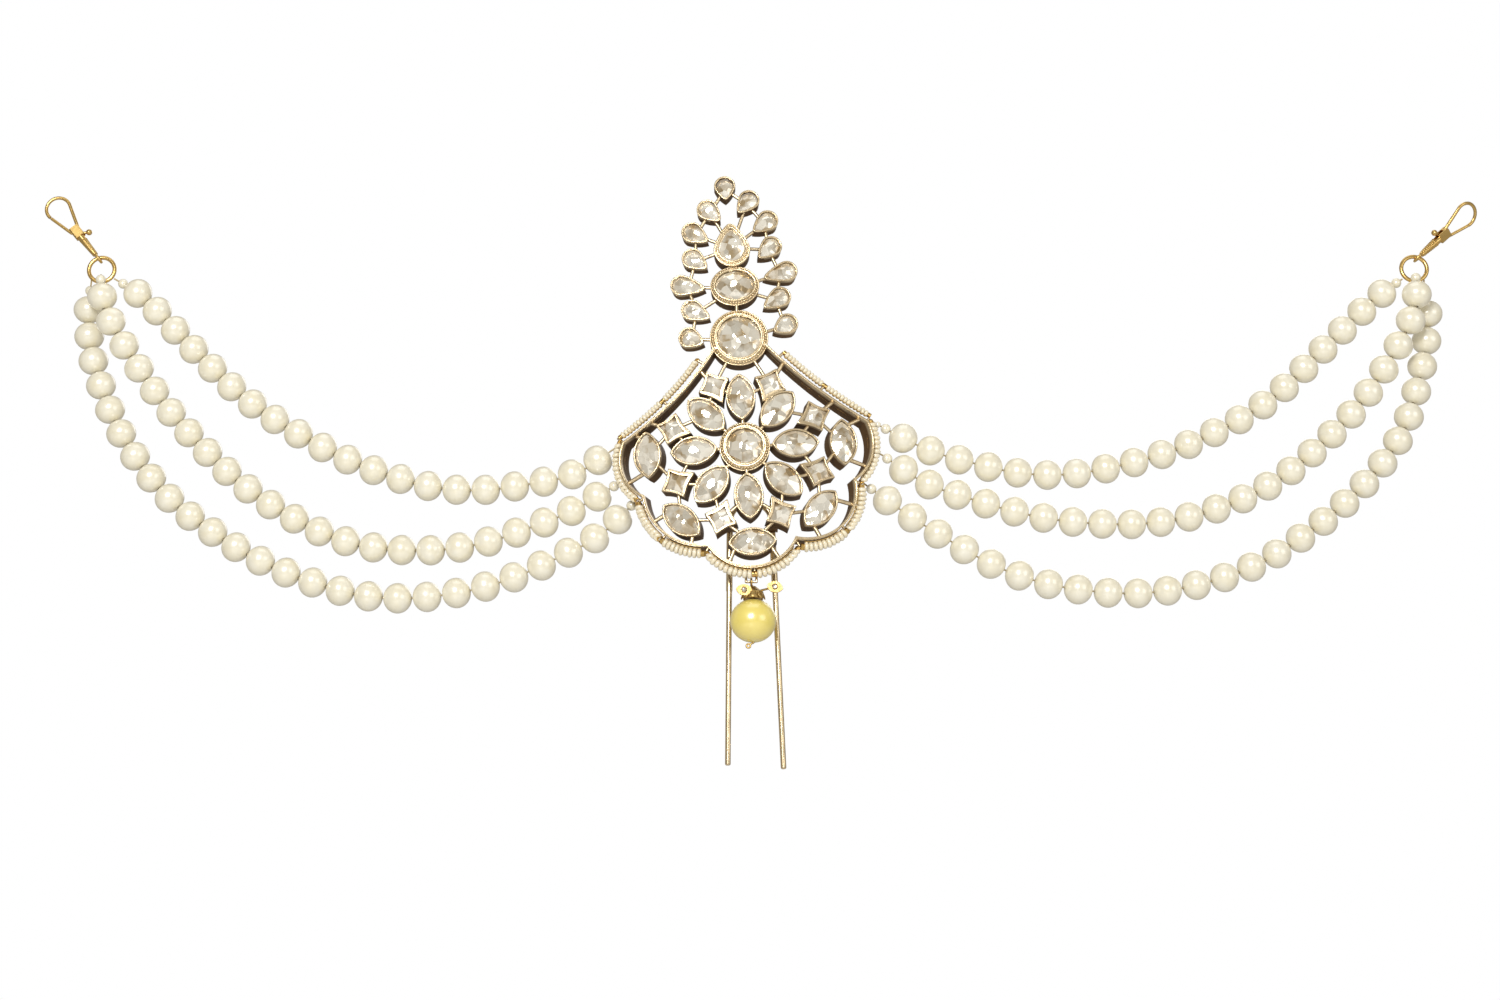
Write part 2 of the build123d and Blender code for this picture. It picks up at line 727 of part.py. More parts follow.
def knots():
    """The lugs that the seed rows are tied to, and the bar that the drop hangs on."""
    lugs = []
    rim = rim_outline()
    for number, arc in enumerate(rim):
        row = row_arc(number)[0]
        for share in row_ties(number):
            if share == 0.0:
                continue
            inner = arc[3] if share == 1.0 else arc_point(arc, share)[0]
            outer = row[3] if share == 1.0 else arc_point(row, share)[0]
            lugs.append(rod(border_point(inner), border_point(outer), knot_radius))
            lugs.append(Pos(border_point(outer)) * Sphere(knot_radius))
    bottom = next(arc for arc in rim if arc[0] == "bottom lobe")
    length = arc_point(bottom, 0)[2]
    ends = bar_ends()
    for side, end in zip((-1, 1), ends):
        share = 0.5 + (drop_offset + side * bar_half_length) / length
        foot = border_point(arc_point(bottom, share)[0], bar_setback)
        lugs += [rod(foot, end, bar_radius), Pos(end) * Sphere(bar_radius)]
    lugs.append(rod(ends[0], ends[1], bar_radius))
    return lugs


def hanging_point():
    """Middle of the bar that the drop hangs on, in the model's frame."""
    ends = bar_ends()
    middle = (ends[0] + ends[1]) / 2
    return (plate_place * Pos(middle.X, middle.Y, middle.Z)).position


def pin_points():
    """Corners of the fork's wire: left tip, two top corners, right tip."""
    feet = [pin_top - pin_length, pin_top - pin_length - pin_right_longer]
    y = pin_stand_off
    back = [y + tan(radians(prong_lean)) * (prong_top - foot) for foot in feet]
    return [
        (-pin_half_gap - pin_left_splay, back[0], feet[0]),
        (-pin_half_gap, y, pin_top),
        (pin_half_gap - pin_right_splay * 0.1, y, pin_top),
        (pin_half_gap + pin_right_splay, back[1], feet[1]),
    ]


def pin_wire(radius):
    """The fork's bent wire down to its thinner prongs, at a radius."""
    points = pin_points()
    low = [point_at_height(points[1], points[0]), point_at_height(points[2], points[3])]
    path = FilletPolyline(low[0], points[1], points[2], low[1], radius=[pin_half_gap * 0.85] * 2)
    section = Plane(path @ 0, z_dir=path % 0) * Circle(radius)
    return sweep(section, path=path)


def point_at_height(top, tip):
    """Point of a prong's line at the height where it grows thinner and leans back."""
    share = (top[2] - prong_top) / (top[2] - tip[2])
    return (top[0] + share * (tip[0] - top[0]), top[1], prong_top)


def turban_pin():
    """The fork: its bent wire and two thinner prongs that lean back and end in rounded tips."""
    points = pin_points()
    prongs = []
    for top, tip in ((points[1], points[0]), (points[2], points[3])):
        start = Vector(*point_at_height(top, tip))
        start -= (Vector(*tip) - start).normalized() * prong_overlap
        prong = rod(start, tip, prong_radius)
        prongs.append(fillet(prong.edges().group_by(Axis.Z)[0], pin_tip_round))
    return pin_wire(pin_radius).fuse(*prongs)


def saddles():
    """Three posts at the plate's back that hold the fork, before its groove is cut."""
    top = pin_stand_off + saddle_wrap
    blocks = []
    for x, z, width, height in (
            (-pin_half_gap, saddle_z, saddle_width, saddle_height),
            (pin_half_gap, saddle_z, saddle_width, saddle_height),
            (0, pin_top, saddle_height, saddle_width)):
        block = Box(width, top + cup_depth / 4, height, align=(Align.CENTER, Align.MAX, Align.CENTER))
        blocks.append(Pos(x, top, z) * block)
    return blocks


def setting(cups):
    """Rim, cups, pegs, knots and saddles as one soldered piece, with seats and groove cut."""
    raised = [cup.wall() for cup in cups] + pegs(cups) + knots()
    body = rim_wall_solid().fuse(*raised)
    body = body.cut(*[cup.seat() for cup in cups])
    placed = (plate_place * body).fuse(*saddles())
    return placed.cut(pin_wire(pin_radius + pin_clearance))


def bead(radius, length):
    """Drilled bead, its hole along Z."""
    ball = Sphere(radius) if length == 2 * radius else scale(Sphere(radius), by=(1, 1, length / radius / 2))
    return ball - Cylinder(pearl_hole_radius, 2 * length)


def string_beads(row):
    """Pearls at an even pitch along a route, with link beads between them and the route's ends."""
    count, first_share, last_share, inner_links, outer_links, route = row
    thread, path = tube(route, thread_radius)
    first = first_share * pearl_diameter
    last = path.length - last_share * pearl_diameter
    pitch = (last - first) / (count - 1)
    places = [(first + pitch * step, None) for step in range(count)]
    for start, way, radii in ((first, -1, inner_links), (last, 1, outer_links)):
        at = start + way * pearl_length / 2
        for radius in radii:
            places.append((at + way * (string_gap + radius), radius))
            at += way * (string_gap + 2 * radius)
    pearl = bead(pearl_diameter / 2, pearl_length)
    links = {radius: bead(radius, 2 * radius) for radius in (link_radius, small_link_radius)}
    solids = []
    for along, radius in places:
        reach = radius or pearl_length / 2
        ends = [path.position_at(spot / path.length) for spot in (along - reach, along + reach)]
        middle = (path.position_at(along / path.length) + (ends[0] + ends[1]) / 2) / 2
        place = Plane(middle, z_dir=ends[1] - ends[0]).location
        solids.append(place * (links[radius] if radius else pearl))
    return solids, thread, pitch


def hook_place(side):
    """Place of a hook's eye on its ring, the hook's axis leaning away along +Z."""
    centre, seat, lean, turn = {
        "left": (LEFT_RING, left_hook_seat, left_hook_lean, left_hook_turn),
        "right": (RIGHT_RING, right_hook_seat, right_hook_lean, right_hook_turn),
    }[side]
    x = centre[0] + ring_radius * sin(radians(seat))
    z = centre[2] + ring_radius * cos(radians(seat))
    return Pos(x, centre[1], z) * Rot(0, lean, 0), Rot(0, 0, turn)


def loop_touch(foot, side):
    """Where a straight leg from a foot runs into the circle of the loop."""
    dx, dz = foot[0], foot[1] - loop_height
    angle = atan2(dz, dx) + side * acos(loop_radius / hypot(dx, dz))
    return loop_radius * cos(angle), loop_height + loop_radius * sin(angle), angle


def hook_body(side):
    """Eye, barrel, collar with its slot and pin, and the fixed part of the loop."""
    eye = Rot(0, 90, 0) * Torus(eye_hole_radius + eye_wire_radius, eye_wire_radius)
    foot = eye_hole_radius + eye_wire_radius
    barrel = Pos(0, 0, foot) * Cone(
        barrel_foot_radius, barrel_head_radius, collar_height - foot + collar_length / 4,
        align=(Align.CENTER, Align.CENTER, Align.MIN))
    groove = Pos(0, -barrel_head_radius, (foot + collar_height) / 2) * Box(
        barrel_foot_radius * 0.7, barrel_head_radius * 0.9, (collar_height - foot) * 0.6)
    collar_top = collar_height + collar_length
    collar = Pos(0, 0, collar_height + collar_length / 2) * Box(
        collar_width, collar_thickness, collar_length)
    collar = chamfer(collar.edges().filter_by(Axis.Z), 0.4)
    slot_width = lever_thickness + 2 * lever_slot_clearance
    low = lever_pivot_height - lever_boss_radius - lever_slot_clearance
    high = lever_pivot_height + lever_boss_radius + lever_slot_clearance
    notch_low = low - knob_drop
    slot = Pos(0, 0, (low + high) / 2) * Box(2 * collar_width, slot_width, high - low)
    mouth = Pos(-collar_width + fixed_leg_spread / 3, 0, (low + collar_top + 1) / 2) * Box(
        2 * collar_width, slot_width, collar_top + 1 - low)
    notch = Pos(collar_width + fixed_leg_spread / 3, 0, (notch_low + high) / 2) * Box(
        2 * collar_width, slot_width, high - notch_low)
    pin = rod((0, -collar_thickness / 2, lever_pivot_height), (0, collar_thickness / 2, lever_pivot_height),
              lever_pin_radius)
    base = (fixed_leg_spread, collar_top - hook_wire_radius)
    x, z, _ = loop_touch(base, 1)
    end_angle = loop_touch((-gate_leg_spread, lever_pivot_height + gate_leg_height), -1)[2] % (2 * pi)
    end_angle -= lever_gap / loop_radius
    end = (loop_radius * cos(end_angle), 0, loop_height + loop_radius * sin(end_angle))
    leg = Line((base[0], 0, base[1] - hook_wire_radius / 2), (x, 0, z))
    arc = ThreePointArc((x, 0, z), (0, 0, loop_height + loop_radius), end)
    path = Wire([leg, arc])
    loop = sweep(Plane(path @ 0, z_dir=path % 0) * Circle(hook_wire_radius), path=path)
    body = (barrel - groove) + collar - slot - mouth - notch + pin + loop
    place, turn = hook_place(side)
    return place * (eye + turn * body)


def hook_lever(side):
    """Gate of a hook: leg, arm through the collar's slot, and the thumb knob."""
    knob_place = (knob_reach, 0, lever_pivot_height - knob_drop)
    gate_foot = (-gate_leg_spread, 0, lever_pivot_height + gate_leg_height)
    pivot = (0, 0, lever_pivot_height)
    half = lever_thickness / 2
    boss = rod((0, -half, lever_pivot_height), (0, half, lever_pivot_height), lever_boss_radius)
    arms = [rod(pivot, knob_place, lever_arm_half_height), rod(pivot, gate_foot, lever_arm_half_height)]
    x, z, _ = loop_touch((gate_foot[0], gate_foot[2]), -1)
    keep = 1 - lever_gap / hypot(x - gate_foot[0], z - gate_foot[2])
    tip = (gate_foot[0] + (x - gate_foot[0]) * keep, 0, gate_foot[2] + (z - gate_foot[2]) * keep)
    leg = rod(gate_foot, tip, half)
    gate = boss.fuse(*arms, leg, Pos(*gate_foot) * Sphere(half), Pos(*knob_place) * Sphere(knob_radius))
    bore = rod((0, -collar_thickness, lever_pivot_height), (0, collar_thickness, lever_pivot_height),
               lever_pin_radius + lever_pin_clearance)
    place, turn = hook_place(side)
    return place * turn * (gate - bore)


def end_ring(centre):
    """Round wire ring that gathers three strings, facing forwards."""
    return Pos(*centre) * Rot(90, 0, 0) * Torus(ring_radius, ring_wire_radius)


LEAF_PLACES = (
    # across as a share of the pearl's width, down as a share of its height, turn in degrees
    (-0.19, -0.235, 172),
    (0.47, -0.165, -12),
)


def leaf_frames():
    """Places of the leaves before the cap, each facing forwards."""
    return [
        Pos(across * drop_pearl_width, -leaf_stand_off, down * drop_pearl_height)
        * Rot(90, 0, 0) * Rot(0, 0, turn)
        for across, down, turn in LEAF_PLACES]


def leaf_plate():
    """Pointed leaf with a blind seat for its crystal."""
    leaf = extrude(Face(outline_marquise(leaf_length, leaf_breadth)), leaf_thickness)
    seat = outline_round(2 * (crystal_radius + seat_clearance), 2 * (crystal_radius + seat_clearance))
    return leaf - Pos(0, 0, leaf_thickness - crystal_seat) * extrude(Face(seat), leaf_thickness)


def drop_place():
    """Place of the drop's own parts: level with the bar, a little aside of its eye."""
    return Pos(*hanging_point()) * Pos(drop_shift, 0, 0)


def drop_cap():
    """Hanging eye, cap, leaves and the head pin with its foot eye."""
    eye_radius = drop_eye_hole_radius + drop_eye_wire_radius
    eye = Pos(-drop_shift, 0, 0) * Rot(0, 90, 0) * Torus(eye_radius, drop_eye_wire_radius)
    waist = -cap_top - cap_neck_height
    foot = waist - cap_bowl_height
    up = (Align.CENTER, Align.CENTER, Align.MIN)
    neck = Pos(0, 0, waist) * Cone(cap_waist_radius, cap_top_radius, cap_neck_height, align=up)
    bowl = Pos(0, 0, foot) * Cone(cap_foot_radius, cap_waist_radius, cap_bowl_height, align=up)
    stem = rod((-drop_shift, 0, -eye_radius), (0, 0, -cap_top - 0.5), head_pin_radius)
    pin_low = foot - 2 * drop_pearl_gap - drop_pearl_height
    foot_eye_place = (-foot_eye_aside, 0, pin_low - foot_eye_drop)
    reach = 1 - foot_eye_radius / hypot(foot_eye_aside, foot_eye_drop)
    pieces = [neck, bowl, stem]
    pieces.append(rod((0, 0, foot + 0.5), (0, 0, pin_low), head_pin_radius))
    pieces.append(Pos(0, 0, pin_low) * Sphere(head_pin_radius))
    pieces.append(rod((0, 0, pin_low), (-foot_eye_aside * reach, 0, pin_low - foot_eye_drop * reach),
                      foot_eye_wire_radius))
    pieces.append(Pos(*foot_eye_place) * Rot(90, 0, 0) * Torus(foot_eye_radius, foot_eye_wire_radius))
    for frame in leaf_frames():
        pieces.append(frame * leaf_plate())
        back = (frame * Pos(0, 0, leaf_thickness / 3)).position
        pieces.append(rod((0, 0, waist), tuple(back), drop_stem_radius))
    return drop_place() * eye.fuse(*pieces)


def drop_pearl():
    """Oblate drilled pearl under the cap."""
    middle = -cap_top - cap_neck_height - cap_bowl_height - drop_pearl_gap - drop_pearl_height / 2
    pearl = scale(Sphere(drop_pearl_width / 2), by=(1, 1, drop_pearl_height / drop_pearl_width))
    pearl -= Cylinder(head_pin_radius + head_pin_clearance, 2 * drop_pearl_height)
    return drop_place() * Pos(0, 0, middle) * pearl


def drop_crystals():
    """Small faceted crystals in the leaves."""
    outline = outline_round(2 * crystal_radius, 2 * crystal_radius)
    stone = scale(faceted_stone(outline, 8), by=(1, 1, 2 * crystal_seat / stone_height))
    floor = leaf_thickness - crystal_seat + seat_clearance
    return [drop_place() * frame * Pos(0, 0, floor) * stone for frame in leaf_frames()]


def describe(title, place, along):
    """Print a place and the direction of its own axis, in millimetres."""
    start = place.position
    ahead = (place * Pos(*along)).position - start
    print(title, [round(v, 3) for v in tuple(start)], "axis", [round(v, 6) for v in tuple(ahead)])


def write(name, shape):
    """Write one node's STEP file."""
    solids = []
    for piece in shape if isinstance(shape, list) else [shape]:
        solids += piece.solids()
    export_step(Compound(solids) if len(solids) > 1 else solids[0], f"parts/{name}.step")


def main():
    """Build every node and print the places that its mounts and joints need."""
    os.makedirs("parts", exist_ok=True)
    cups = flower_cups() + crest_cups()
    write("setting", setting(cups))
    for cup in cups:
        write(cup.name, plate_place * cup.stone())
    write("turban_pin", turban_pin())
    write("seed_border", [plate_place * row for row in seed_border()])
    for side in ("left", "right"):
        threads = []
        for row in ("upper", "middle", "lower"):
            beads, thread, pitch = string_beads(STRING_ROUTES[f"{side}_{row}"])
            write(f"{side}_{row}_string", beads)
            threads.append(thread)
            print(side, row, "pitch", round(pitch, 2))
        write(f"{side}_threads", threads)
        write(f"{side}_ring", end_ring(LEFT_RING if side == "left" else RIGHT_RING))
        write(f"{side}_hook", hook_body(side))
        write(f"{side}_lever", hook_lever(side))
        seat, turn = hook_place(side)
        describe(f"{side} lever pivot", seat * turn * Pos(0, 0, lever_pivot_height), (0, 1, 0))
        describe(f"{side} loop centre", seat * turn * Pos(0, 0, loop_height), (0, 1, 0))
    write("drop_cap", drop_cap())
    write("drop_pearl", drop_pearl())
    write("drop_crystals", drop_crystals())
    print("hanging point", hanging_point())
    print("pin corners", pin_points())


if __name__ == "__main__":
    main()
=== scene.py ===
"""Turban ornament: the pierced gold plate, its stones, seed border, pearl strings and yellow drop.

Lengths in the tables are millimetres. Every finished piece is in metres, in the frame of the
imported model, with its object at the origin.
"""
from math import asin, atan2, cos, hypot, pi, radians, sin, sqrt

import bpy
from mathutils import Matrix, Vector


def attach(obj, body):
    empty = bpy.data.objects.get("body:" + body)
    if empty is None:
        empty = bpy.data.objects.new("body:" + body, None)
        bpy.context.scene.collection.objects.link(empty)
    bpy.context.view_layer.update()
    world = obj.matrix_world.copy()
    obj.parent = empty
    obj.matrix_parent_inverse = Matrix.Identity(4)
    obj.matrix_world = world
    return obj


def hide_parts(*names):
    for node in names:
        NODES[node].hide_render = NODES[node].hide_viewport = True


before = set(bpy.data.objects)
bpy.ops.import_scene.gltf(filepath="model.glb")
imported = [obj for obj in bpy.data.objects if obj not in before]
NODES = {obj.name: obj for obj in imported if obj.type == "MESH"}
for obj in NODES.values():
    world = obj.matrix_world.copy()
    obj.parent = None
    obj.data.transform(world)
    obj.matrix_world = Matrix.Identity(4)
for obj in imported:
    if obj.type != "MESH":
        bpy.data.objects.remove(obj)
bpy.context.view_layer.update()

bl_info = {
    "name": "Turban ornament",
    "version": (1, 0, 0),
    "blender": (4, 5, 0),
    "location": "View3D > Sidebar > Ornament",
    "description": "Dresses the packed turban ornament and sets its studio",
    "category": "Object",
}

MM = 0.001

# Plate, as in the part's source
PLATE_HALF_WIDTH = 36.0
PLATE_HEIGHT = 64.0
PLATE_BOTTOM = 2.5
PLATE_MIDDLE = (-1.8, 37.0)
CURVE_RADIUS = 105.0
PLATE_LEAN = 4.5
PIVOT_HEIGHT = 15.0
RIM_DEPTH = 6.5
FRONT_RADIUS = CURVE_RADIUS + RIM_DEPTH
NECK = (0.9, 7.199)
# Arcs of the rim down each side: name, end across and up, point between across and up, as shares
RIM_ARCS = {
    "left": (
        ("slant", 0.942, 0.622, 0.550, 0.772),
        ("side lobe", 0.818, 0.368, 0.980, 0.530),
        ("lower lobe", 0.340, 0.115, 0.685, 0.196),
    ),
    "right": (
        ("slant", 0.976, 0.640, 0.556, 0.812),
        ("side lobe", 0.838, 0.374, 1.000, 0.510),
        ("lower lobe", 0.340, 0.117, 0.738, 0.184),
    ),
}

# Seed rows: bead radius and how far the row lies out from the rim's centre line
SEED_ROWS = {"slant": (1.0, 2.6), "side lobe": (1.15, 1.68), "lower lobe": (1.38, 2.0),
             "bottom lobe": (1.25, 1.75)}
# Where a slant is tied, as shares of its arc, and how high the rows lie over the plate's back
SLANT_TIES = (0.14, 0.56, 1.0)
SEED_HEIGHT = RIM_DEPTH - 1.9
# Room for the ties at a row's end, and where that end is a corner of the rim
KNOT = 0.75
CORNER_KNOT = KNOT * 1.6
# Seed bead: radius of its ring and of its tube over the bead's, share of the pitch it fills
SEED_RING = 0.56
SEED_TUBE = 0.50
SEED_FILL = 0.96
SEED_WOBBLE = 0.05
WOBBLE_STEP = 2.4
# Border thread and ties: their places over the bead's radius, their own radii over the thread's
THREAD_ASIDE = 0.92
THREAD_RISE = 0.58
THREAD_WIRE = 0.8
THREAD_STEPS = 30
TIE_RADIUS = 0.62
TIE_WIRE = 1.1
# Ties at each end of a row
TIES = 3
TIE_START = 0.15
TIE_PITCH = 0.30

# Cups: kind, across, up, turn in degrees, depth, length, width of the cup's front
FLOWER_HEIGHT = 37.4
FLOWER_DEPTH = 6.0
CREST_AXIS = 0.9
CREST_FOOT = 69.3
CREST_DEPTH = 6.3
SPINE_CUPS = (
    ("round", 0.0, FLOWER_HEIGHT, 0, FLOWER_DEPTH, 13.8, 13.8),
    ("round", CREST_AXIS, CREST_FOOT, 0, CREST_DEPTH, 16.1, 16.1),
    ("round", CREST_AXIS, 84.8, 0, CREST_DEPTH, 13.5, 11.4),
    ("pear", CREST_AXIS, 97.0, -90, CREST_DEPTH, 12.6, 10.1),
)
SPINE_SEATS = ((10.0, 10.0), (12.2, 12.2), (11.0, 8.5), (9.6, 7.7))
SPINE_GRAINS = (50, 60, 48, 42)

# Rings of the flower: radius, length and width of a cup, and the cups' angles with their shares
# of the radius
PETAL_RING = 14.4
SQUARE_RING = 22.0
EDGE_RING = 27.6
PETAL_CUP = (13.4, 8.3)
SQUARE_CUP = (10.6, 9.5)
EDGE_CUP = (13.6, 8.0)
PETALS = tuple((90 - 45 * step, 1.0) for step in range(8))
SQUARES = ((112, 0.895), (64, 0.895), (20.5, 1.0), (-22.8, 1.0), (-66.9, 1.0), (-112.1, 1.0),
           (-156.4, 0.99), (160.8, 0.97))
EDGES = ((179, 1.0), (-134.8, 0.995), (-90, 1.0), (-44, 1.0), (0, 1.015))

# Leaves of the crest: height and reach as shares, tilt, length; the right side stands higher
CREST_HEIGHT = 45.6
CREST_HALF_WIDTH = 13.7
CREST_STEP = 1.0
TOP_LEAF = (0.36, 114.9, 90)
TOP_LEAF_LENGTH = 7.2
LEAVES = ((0.873, 0.401, 47, 8.0), (0.733, 0.745, 36, 8.4), (0.560, 0.788, 40, 8.2),
          (0.396, 0.993, 15, 10.0), (0.223, 0.861, 31, 8.8), (0.053, 1.000, 28, 7.6))
LEAF_WIDTH = 6.1
LEAF_DEPTH = 4.5

# Outlines: how a pear narrows and how hollow a square's sides are
PEAR_TAPER = (0.34, 0.06)
PEAR_POWER = 1.25
SQUARE_HOLLOW = 0.13

# Cut of each kind of stone: facets round it, share of the table, height at its edge and middle
CUTS = {"round": (10, 0.30, 1.55, 2.75), "pear": (8, 0.38, 1.70, 2.50),
        "marquise": (8, 0.26, 1.60, 2.65), "square": (4, 0.06, 1.55, 2.75)}
SEAT_DEPTH = 2.4
SEAT_CLEARANCE = 0.12
# Blank that the facets cut, their cone's foot over the stone's half width and its depth below,
# and the most by which a cut is turned
BLANK_HEIGHT = 4
FACET_REACH = 1.45
FACET_FOOT = 3
FACET_SPIN = 0.2
SPIN_STEP = 1.7
SQUARE_STONE = (7.6, 7.6)
# How much shorter and narrower a stone is than its cup
FLOWER_MARGIN = (1.5, 0.95)
LEAF_MARGIN = (1.2, 0.95)

# Wires of the cups: inset and sink of a bezel, growth of a collar's lip over the seat, inset of
# its grains, how far the grains and the brim lie below the cup's front, and the radii of the
# lip's and the brim's wires over the bezel's
BEZEL_INSET = 0.25
BEZEL_SINK = 0.06
BEZEL_POINTS = 40
COLLAR_POINTS = 56
LIP_GROWTH = 0.7
LIP_WIRE = 1.15
BRIM_WIRE = 0.8
GRAIN_INSET = 1.05
GRAIN_SINK = {"round": 0.55, "pear": 0.1}
BRIM_SINK = {"round": 1.15, "pear": 0.5}
RIM_WIRE = 0.32
RIM_SINK = 0.05
RIM_STEPS = 26

# Right hook: ring centre, seat angle and lean in degrees, the barrel's ends and radii, its ribs
RING_RADIUS = 3.75
RIGHT_HOOK = ((194.2, 18.0, 98.1), 22.0, 48.0)
BARREL = (1.4, 8.7, 0.8, 1.25)
RIBS = 9
RIB_START = 0.10
RIB_PITCH = 0.085
RIB_WIRE = 0.16

# Drop: its hanging point, the cap's waist and foot below it, and the petals round the cap
DROP_PLACE = (0.577, -2.584, -0.988)
CAP_WAIST = -2.95
CAP_FOOT = -4.85
CAP_WAIST_RADIUS = 2.85
CAP_PETALS = 8
CAP_PETAL_SIZE = (0.95, 0.32, 1.25)
CAP_PETAL_LEAN = -22

# Smallest bend between two faces that stays an edge, and the step that gives a row's direction
EDGE_ANGLE = radians(50)
SHARE_STEP = 0.004

# Where painted shade darkens the setting's walls, in metres: depth behind the front, for the rim
# and flower and for the leaves, which start above a height and beyond a reach from the crest's
# axis
WALL_SHADE_FADE = {"Start": 0.0007, "End": 0.0020}
LEAF_SHADE_FADE = {"Start": 0.0026, "End": 0.0040}
LEAF_HEIGHT = 0.0665
LEAF_LINE = (-0.004, 0, 0.011)
LEAF_REACH = 0.0078
LEAF_FLATTEN = (1, 0, 0.12)
# Directions of a face, along Y, between which it goes over from front or back to a wall with
# painted shade
FRONT_TURN = (-0.75, -0.35)
BACK_TURN = (0.80, 0.35)
# Tarnish patches of gold: their colour over the gold's, and how much rougher they are
TARNISH = 0.70
SETTING_TARNISH = 0.72
TARNISH_ROUGHNESS = 0.14
RELIEF_SCALE = 2.2
# Colours: warm cloud of a pearl over its own colour, the crystals' bright facets, pearl threads
PEARL_WARMTH = (0.96, 0.93, 0.84)
CRYSTAL_LIGHT = (0.97, 0.96, 0.93)
SILK = (0.72, 0.58, 0.34)
SILK_SHADE = 0.6

# Studio: image width in pixels, a pixel's size at the origin and the camera's place, in mm
IMAGE_WIDTH = 1500
PIXEL = 0.28
CAMERA_DISTANCE = 800.0
CAMERA_RISE = -15.0
CAMERA_AIM = (-0.28, 0.0, 23.2)
# Floor, air and lights, in metres and watts: name, place, size, power
FLOOR_SIZE = 24.0
FLOOR_DROP = 0.42
FLOOR_COLOUR = (0.86, 0.86, 0.86, 1)
AIR_COLOUR = (0.41, 0.385, 0.335, 1)
LIGHTS = (("Key light", (-0.20, -1.05, 0.22), 0.30, 7.0),
          ("Fill light", (0.85, -0.80, 0.10), 0.60, 1.7),
          ("Top light", (0.0, -0.10, 1.10), 0.80, 1.8),
          ("Back light", (0.3, 0.90, 0.60), 0.60, 1.5))


def length_setting(name, description, default):
    """Length of the panel, its default given in millimetres."""
    return bpy.props.FloatProperty(
        name=name, description=description, default=default * MM, unit="LENGTH", precision=5)


def colour_setting(name, description, default):
    """Colour of the panel."""
    return bpy.props.FloatVectorProperty(
        name=name, description=description, subtype="COLOR", size=3, default=default)


class OrnamentSizes(bpy.types.PropertyGroup):
    """Sizes of the pieces that are added over the frame."""

    bezel_wire: length_setting("Bezel wire", "Radius of the wire round each stone", 0.27)
    grain: length_setting("Grain", "Radius of the grains on the collars", 0.36)
    seed_pitch: length_setting("Seed pitch", "Distance between two seed beads of a lobe", 1.35)
    slant_pitch: length_setting("Slant pitch", "Distance between two seed beads of a slant", 1.1)
    thread: length_setting("Gold thread", "Radius of the gold thread that ties the seeds", 0.17)


class OrnamentColours(bpy.types.PropertyGroup):
    """Colours of the finishes."""

    antique_gold: colour_setting("Antique gold", "Setting, bezels and pin", (0.85, 0.69, 0.45))
    # The recess colour is painted shade: the brown of the walls behind the front stands in for
    # shadow
    recess_shade: colour_setting("Recess shade", "Darkened walls of the setting", (0.14, 0.075, 0.028))
    wire_gold: colour_setting("Wire gold", "Rings, hooks, border ties and cap", (0.83, 0.57, 0.21))
    stone_light: colour_setting("Stone light", "Bright facets of the stones", (0.99, 0.96, 0.87))
    stone_dark: colour_setting("Stone dark", "Shaded facets of the stones", (0.48, 0.36, 0.20))
    pearl: colour_setting("Pearl", "Pearls of the strings", (0.92, 0.88, 0.74))
    seed: colour_setting("Seed", "Seed beads of the border", (0.92, 0.84, 0.66))
    yellow: colour_setting("Yellow pearl", "Pearl of the drop", (0.93, 0.77, 0.15))


def deselect():
    """Leave object mode with nothing selected."""
    if bpy.context.object and bpy.context.object.mode != "OBJECT":
        bpy.ops.object.mode_set(mode="OBJECT")
    bpy.ops.object.select_all(action="DESELECT")


def only(obj):
    """Select one object and make it active."""
    deselect()
    obj.select_set(True)
    bpy.context.view_layer.objects.active = obj


def edit_whole(step, **options):
    """Run one mesh step on the whole of the active mesh."""
    bpy.ops.object.mode_set(mode="EDIT")
    bpy.ops.mesh.select_all(action="SELECT")
    step(**options)
    bpy.ops.object.mode_set(mode="OBJECT")


def finish_piece(obj, name, material, body):
    """Name a piece, apply its place, smooth it, give it a finish and let it ride on its body."""
    only(obj)
    bpy.ops.object.transform_apply(location=True, rotation=True, scale=True)
    edit_whole(bpy.ops.mesh.normals_make_consistent, inside=False)
    bpy.ops.object.shade_smooth_by_angle(angle=EDGE_ANGLE)
    obj.name = name
    obj.data.name = name
    obj.data.materials.clear()
    obj.data.materials.append(material)
    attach(obj, body)
    return obj


def joined(objects):
    """One object from several."""
    deselect()
    for obj in objects:
        obj.select_set(True)
    bpy.context.view_layer.objects.active = objects[0]
    if len(objects) > 1:
        bpy.ops.object.join()
    return bpy.context.object


def copies(places):
    """Copies of the active object, each with its own mesh, joined into one. The object goes."""
    pattern = bpy.context.object
    made = []
    for place in places:
        twin = pattern.copy()
        twin.data = pattern.data.copy()
        bpy.context.collection.objects.link(twin)
        twin.matrix_world = place
        made.append(twin)
    bpy.data.objects.remove(pattern, do_unlink=True)
    return joined(made)


